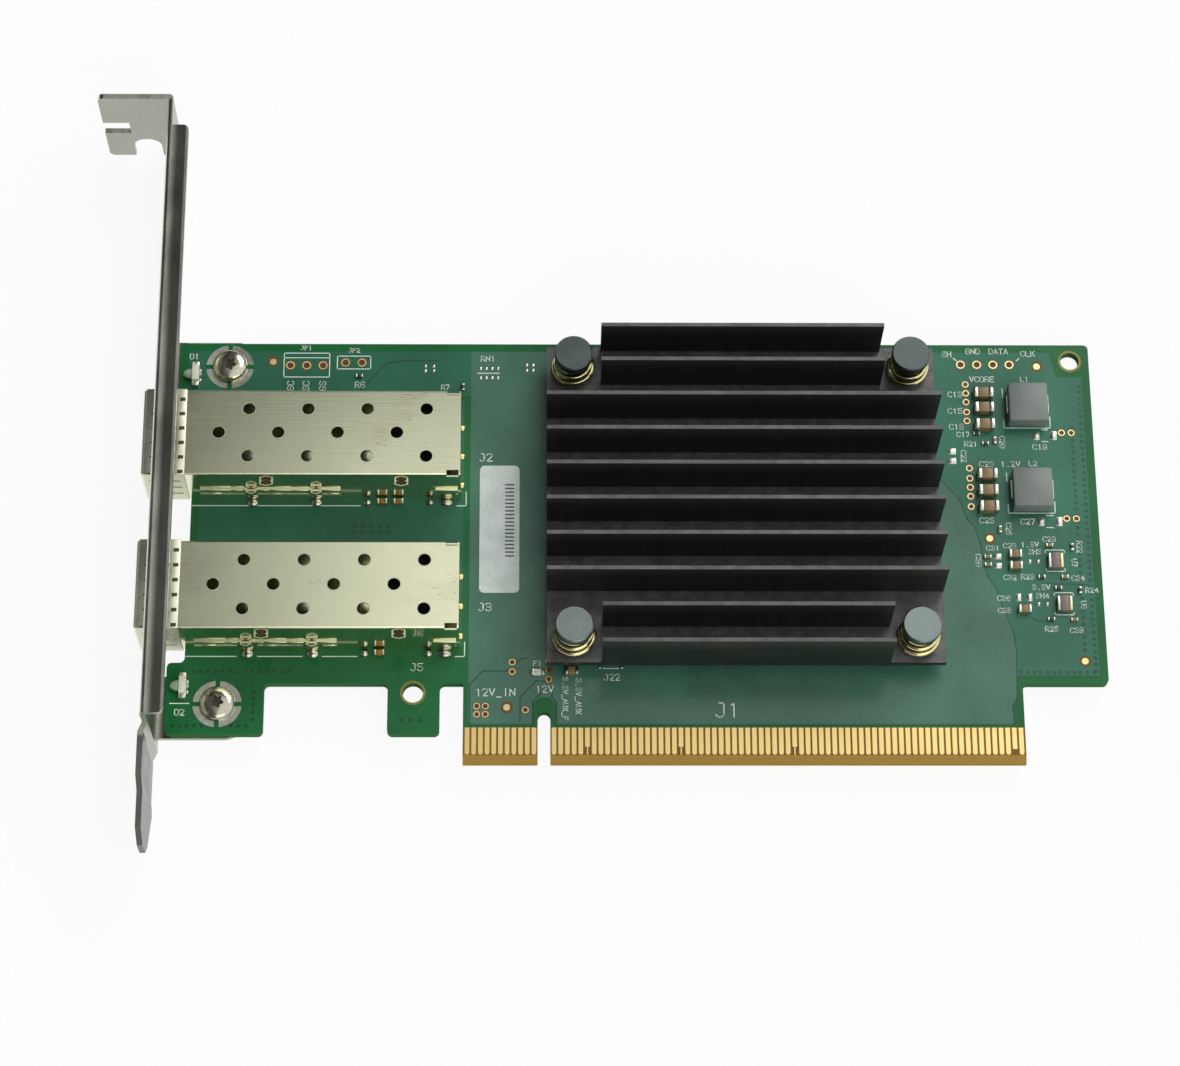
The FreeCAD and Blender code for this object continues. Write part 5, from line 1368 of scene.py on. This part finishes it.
@dataclass
class SmallParts:
    """Capacitors, resistors, inductors, modules, lamps, sticker and the parts on the back."""

    end: float = 0.24
    bar_count: int = 20
    bar_pitch: float = 0.62
    bar_half: float = 0.12
    first_bar: float = 3.2
    bar_span: Point = (2.2, 0.8)

    def chip(self, mesher: Mesher, low: Vector, high: Vector, slot: int) -> None:
        """Add a chip part: a body between two tinned ends along its longer side.

        Args:
            mesher: The piece, with the tin in slot 0.
            low: Lowest corner.
            high: Highest corner.
            slot: Material slot of the body.
        """
        axis = 0 if high.x - low.x > high.y - low.y else 1
        length = high[axis] - low[axis]
        inner_low, inner_high = low.copy(), high.copy()
        inner_low[axis] += length * self.end
        inner_high[axis] -= length * self.end
        shrink = Vector((0.03, 0.03, 0.03))
        shrink[axis] = -0.02
        size = min(high - low)
        mesher.box(inner_low + shrink, inner_high - shrink, size * 0.05, slot)
        first_high, second_low = high.copy(), low.copy()
        first_high[axis] = inner_low[axis]
        second_low[axis] = inner_high[axis]
        mesher.box(low, first_high, size * 0.1, 0)
        mesher.box(second_low, high, size * 0.1, 0)

    def build_chips(self, node: str, body: Finish) -> None:
        """Replace a CAD group of chip parts.

        Args:
            node: CAD node name.
            body: Finish of the bodies.
        """
        mesher = Mesher(TIN, body, CERAMIC)
        for low, high in node_islands(node):
            centre = (low + high) / 2
            near = min(Board.markings, key=lambda mark: math.hypot(mark.x - centre.x, mark.y - centre.y))
            self.chip(mesher, low, high, 2 if near.text.startswith("C") and body is RESISTOR_BLACK else 1)
        mesher.finish(f"{node}_detail", "capacitor_ceramic", [node], smooth=True)

    def build_module(self, name: str) -> None:
        """Replace a regulator module: a dark block between two plated side bars.

        Args:
            name: Which module.
        """
        low, high = node_box(f"regulator_module_{name}")
        mesher = Mesher(PALE_GOLD, MODULE_TOP, TIN)
        bar = (high.x - low.x) * 0.2
        mesher.box((low.x + bar, low.y, low.z), high - Vector((bar, 0, 0)), 0.08, 1)
        mesher.box((low.x, low.y + 0.1, low.z), (low.x + bar, high.y - 0.1, high.z - 0.05), 0.08, 2)
        mesher.box((high.x - bar, low.y + 0.1, low.z), (high.x, high.y - 0.1, high.z - 0.05), 0.08, 0)
        mesher.finish(f"module_{name}", "package_plastic", [f"regulator_module_{name}"], smooth=True)

    def build_inductor(self, name: str) -> None:
        """Replace an inductor's block by one with rounded edges, and dress its terminals.

        Args:
            name: Which inductor.
        """
        low, high = node_box(f"power_inductor_{name}")
        mesher = Mesher(INDUCTOR_GREY)
        mesher.box(low, high, 0.35)
        mesher.finish(f"inductor_block_{name}", "inductor_body", [f"power_inductor_{name}"], smooth=True)
        dress(TIN, f"inductor_terminals_{name}")

    def build_lamp(self, name: str) -> None:
        """Replace a lamp: white body, tinned ends and a domed lens towards the bracket.

        Args:
            name: Which lamp.
        """
        low, high = node_box(f"status_lamp_{name}")
        mesher = Mesher(WHITE_PLASTIC, TIN, LENS)
        front = high.x - 1.3
        middle = (low.y + high.y) / 2
        mesher.box((front + 0.15, low.y, low.z), (high.x - 0.1, high.y, high.z), 0.08, 0)
        mesher.dome(front + 0.2, middle, Vector((front + 0.2 - low.x, 0.9, 0.6)), (low.z + high.z) / 2, 2)
        for edge, side in ((low.y, -1), (high.y, 1)):
            span = sorted((edge - side * 0.35, edge + side * 0.75))
            mesher.box((front + 0.1, span[0], low.z), (high.x - 0.05, span[1], high.z - 0.5), 0.2, 1)
            mesher.dome(high.x, edge - side * 0.5, Vector((0.35, 0.4, 0.4)), low.z, 1)
        mesher.finish(f"lamp_{name}", "lamp_plastic", [f"status_lamp_{name}"], smooth=True)

    def build_sticker(self) -> None:
        """Dress the sticker and print plain even bars on it."""
        dress(PAPER, "blank_sticker")
        high = node_box("blank_sticker")[1]
        mesher = Mesher(GREY_PRINT)
        start, end = (high.x - reach for reach in self.bar_span)
        for index in range(self.bar_count):
            y = high.y - self.first_bar - self.bar_pitch * index
            mesher.box((start, y - self.bar_half, high.z), (end, y + self.bar_half, high.z + 0.01))
        mesher.finish("sticker_bars", "sticker_paper")

    def build(self) -> None:
        """Build every small part."""
        for node, body in (("output_capacitors", CERAMIC), ("medium_capacitors", CERAMIC),
                           ("port_capacitors", AMBER_CERAMIC), ("small_passives", RESISTOR_BLACK),
                           ("back_capacitors", CERAMIC), ("supply_fuse", WHITE_PLASTIC)):
            self.build_chips(node, body)
        for name in PORTS:
            self.build_module(name)
            self.build_inductor(name)
            self.build_lamp(name)
        dress(MOULDING, "flash_memory")
        self.build_sticker()


# ---------------------------------------------------------------- studio


@dataclass(frozen=True)
class Softbox:
    """A soft lamp: where it hangs, its width and depth in metres, and its power in watts."""

    name: str
    place: Place
    size: Point
    power: float


@dataclass
class Studio:
    """Pale floor, soft light and the camera, in metres."""

    floor_level: float = -0.00398
    lens: float = 105.13
    sensor: float = 36.0
    clip: Point = (0.01, 20.0)
    camera_place: Place = (-0.0001167, -0.160983, 0.489125)
    right: Place = (0.99991, -0.00409, 0.01293)
    up: Place = (-0.00106, 0.92692, 0.37526)
    aim: Place = (0.015, 0.035, 0.0)
    softboxes: tuple[Softbox, ...] = (Softbox("key", (0.75, 1.15, 1.25), (1.0, 1.0), 15.0),
                                      Softbox("fill", (0.3, -1.2, 1.2), (1.0, 0.8), 4.0))
    floor_size: float = 6.0
    floor_white: Colour = (0.93, 0.93, 0.93)
    floor_glow: float = 0.92
    fade: tuple[float, float] = (-0.135, -0.01)
    far_fade: tuple[float, float] = (0.4, 0.424)
    far_side: float = 0.08
    dark_side: float = 0.07
    bright_side: float = 1.15

    def hang(self, lamp: Softbox) -> None:
        """Add an area light aimed at the card.

        Args:
            lamp: The lamp.
        """
        light = bpy.data.lights.new(lamp.name, "AREA")
        light.shape = "RECTANGLE"
        light.size, light.size_y = lamp.size
        light.energy = lamp.power
        holder = bpy.data.objects.new(lamp.name, light)
        holder.location = lamp.place
        aim = Vector(self.aim) - holder.location
        holder.rotation_euler = aim.to_track_quat("-Z", "Y").to_euler()
        bpy.context.scene.collection.objects.link(holder)

    def floor_paint(self) -> bpy.types.Material:
        """Make the floor's white, which keeps a faint shadow.

        Returns:
            The material.
        """
        paint = bpy.data.materials.new("Floor")
        paint.use_nodes = True
        shader = Shader(paint.node_tree)
        principled = paint.node_tree.nodes["Principled BSDF"]
        principled.inputs["Base Color"].default_value = (*self.floor_white, 1)
        principled.inputs["Roughness"].default_value = 0.9
        path = shader.add("ShaderNodeLightPath")
        seen = shader.math("MAXIMUM", path.outputs["Is Camera Ray"], path.outputs["Is Glossy Ray"])
        seen = shader.math("MAXIMUM", seen, path.outputs["Is Transmission Ray"])
        glow = shader.add("ShaderNodeEmission", {"Color": (1.0, 1.0, 1.0), "Strength": 1.0})
        mixed = shader.add("ShaderNodeMixShader", {0: shader.math("MULTIPLY", seen, self.floor_glow),
                                                   1: principled.outputs[0], 2: glow.outputs[0]})
        shader.feed(paint.node_tree.nodes["Material Output"].inputs["Surface"], mixed.outputs[0])
        return paint

    def sky(self) -> bpy.types.World:
        """Make the soft light: a bright half to the right, fading to a dark side on the left.

        Returns:
            The world.
        """
        world = bpy.data.worlds.new("Studio")
        world.use_nodes = True
        shader = Shader(world.node_tree)
        across = shader.split(shader.add("ShaderNodeTexCoord").outputs["Generated"])
        lit = shader.math("MULTIPLY",
                          shader.ramp(across[0], *self.fade, self.dark_side, self.bright_side),
                          shader.ramp(across[1], *self.far_fade, 1.0, self.far_side))
        backdrop = world.node_tree.nodes["Background"]
        backdrop.inputs["Color"].default_value = (1, 1, 1, 1)
        shader.feed(backdrop.inputs["Strength"], lit)
        return world

    def build(self) -> None:
        """Build floor, lights, world and camera."""
        scene = bpy.context.scene
        scene.view_settings.view_transform = "Standard"
        floor = bmesh.new()
        bmesh.ops.create_grid(floor, x_segments=1, y_segments=1, size=self.floor_size)
        bmesh.ops.translate(floor, verts=floor.verts, vec=(0, 0, self.floor_level))
        data = bpy.data.meshes.new("floor")
        floor.to_mesh(data)
        floor.free()
        data.materials.append(self.floor_paint())
        holder = bpy.data.objects.new("floor", data)
        scene.collection.objects.link(holder)
        for lamp in self.softboxes:
            self.hang(lamp)
        scene.world = self.sky()
        camera = bpy.data.cameras.new("camera")
        camera.lens = self.lens
        camera.sensor_width = self.sensor
        camera.clip_start, camera.clip_end = self.clip
        stand = bpy.data.objects.new("camera", camera)
        right, up = Vector(self.right).normalized(), Vector(self.up).normalized()
        back = right.cross(up).normalized()
        turn = Matrix((right, up, back)).transposed()
        stand.matrix_world = Matrix.Translation(self.camera_place) @ turn.to_4x4()
        scene.collection.objects.link(stand)
        scene.camera = stand


def main() -> None:
    """Build the whole visual model."""
    logging.basicConfig(level=logging.INFO, format="%(message)s")
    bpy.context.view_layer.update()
    Studio().build()
    for assembly in (Board(), EdgeConnector(), Metalwork(), Cooler(), SmallParts()):
        assembly.build()
        log.info("%s done", type(assembly).__name__)


if __name__ == "__main__":
    main()
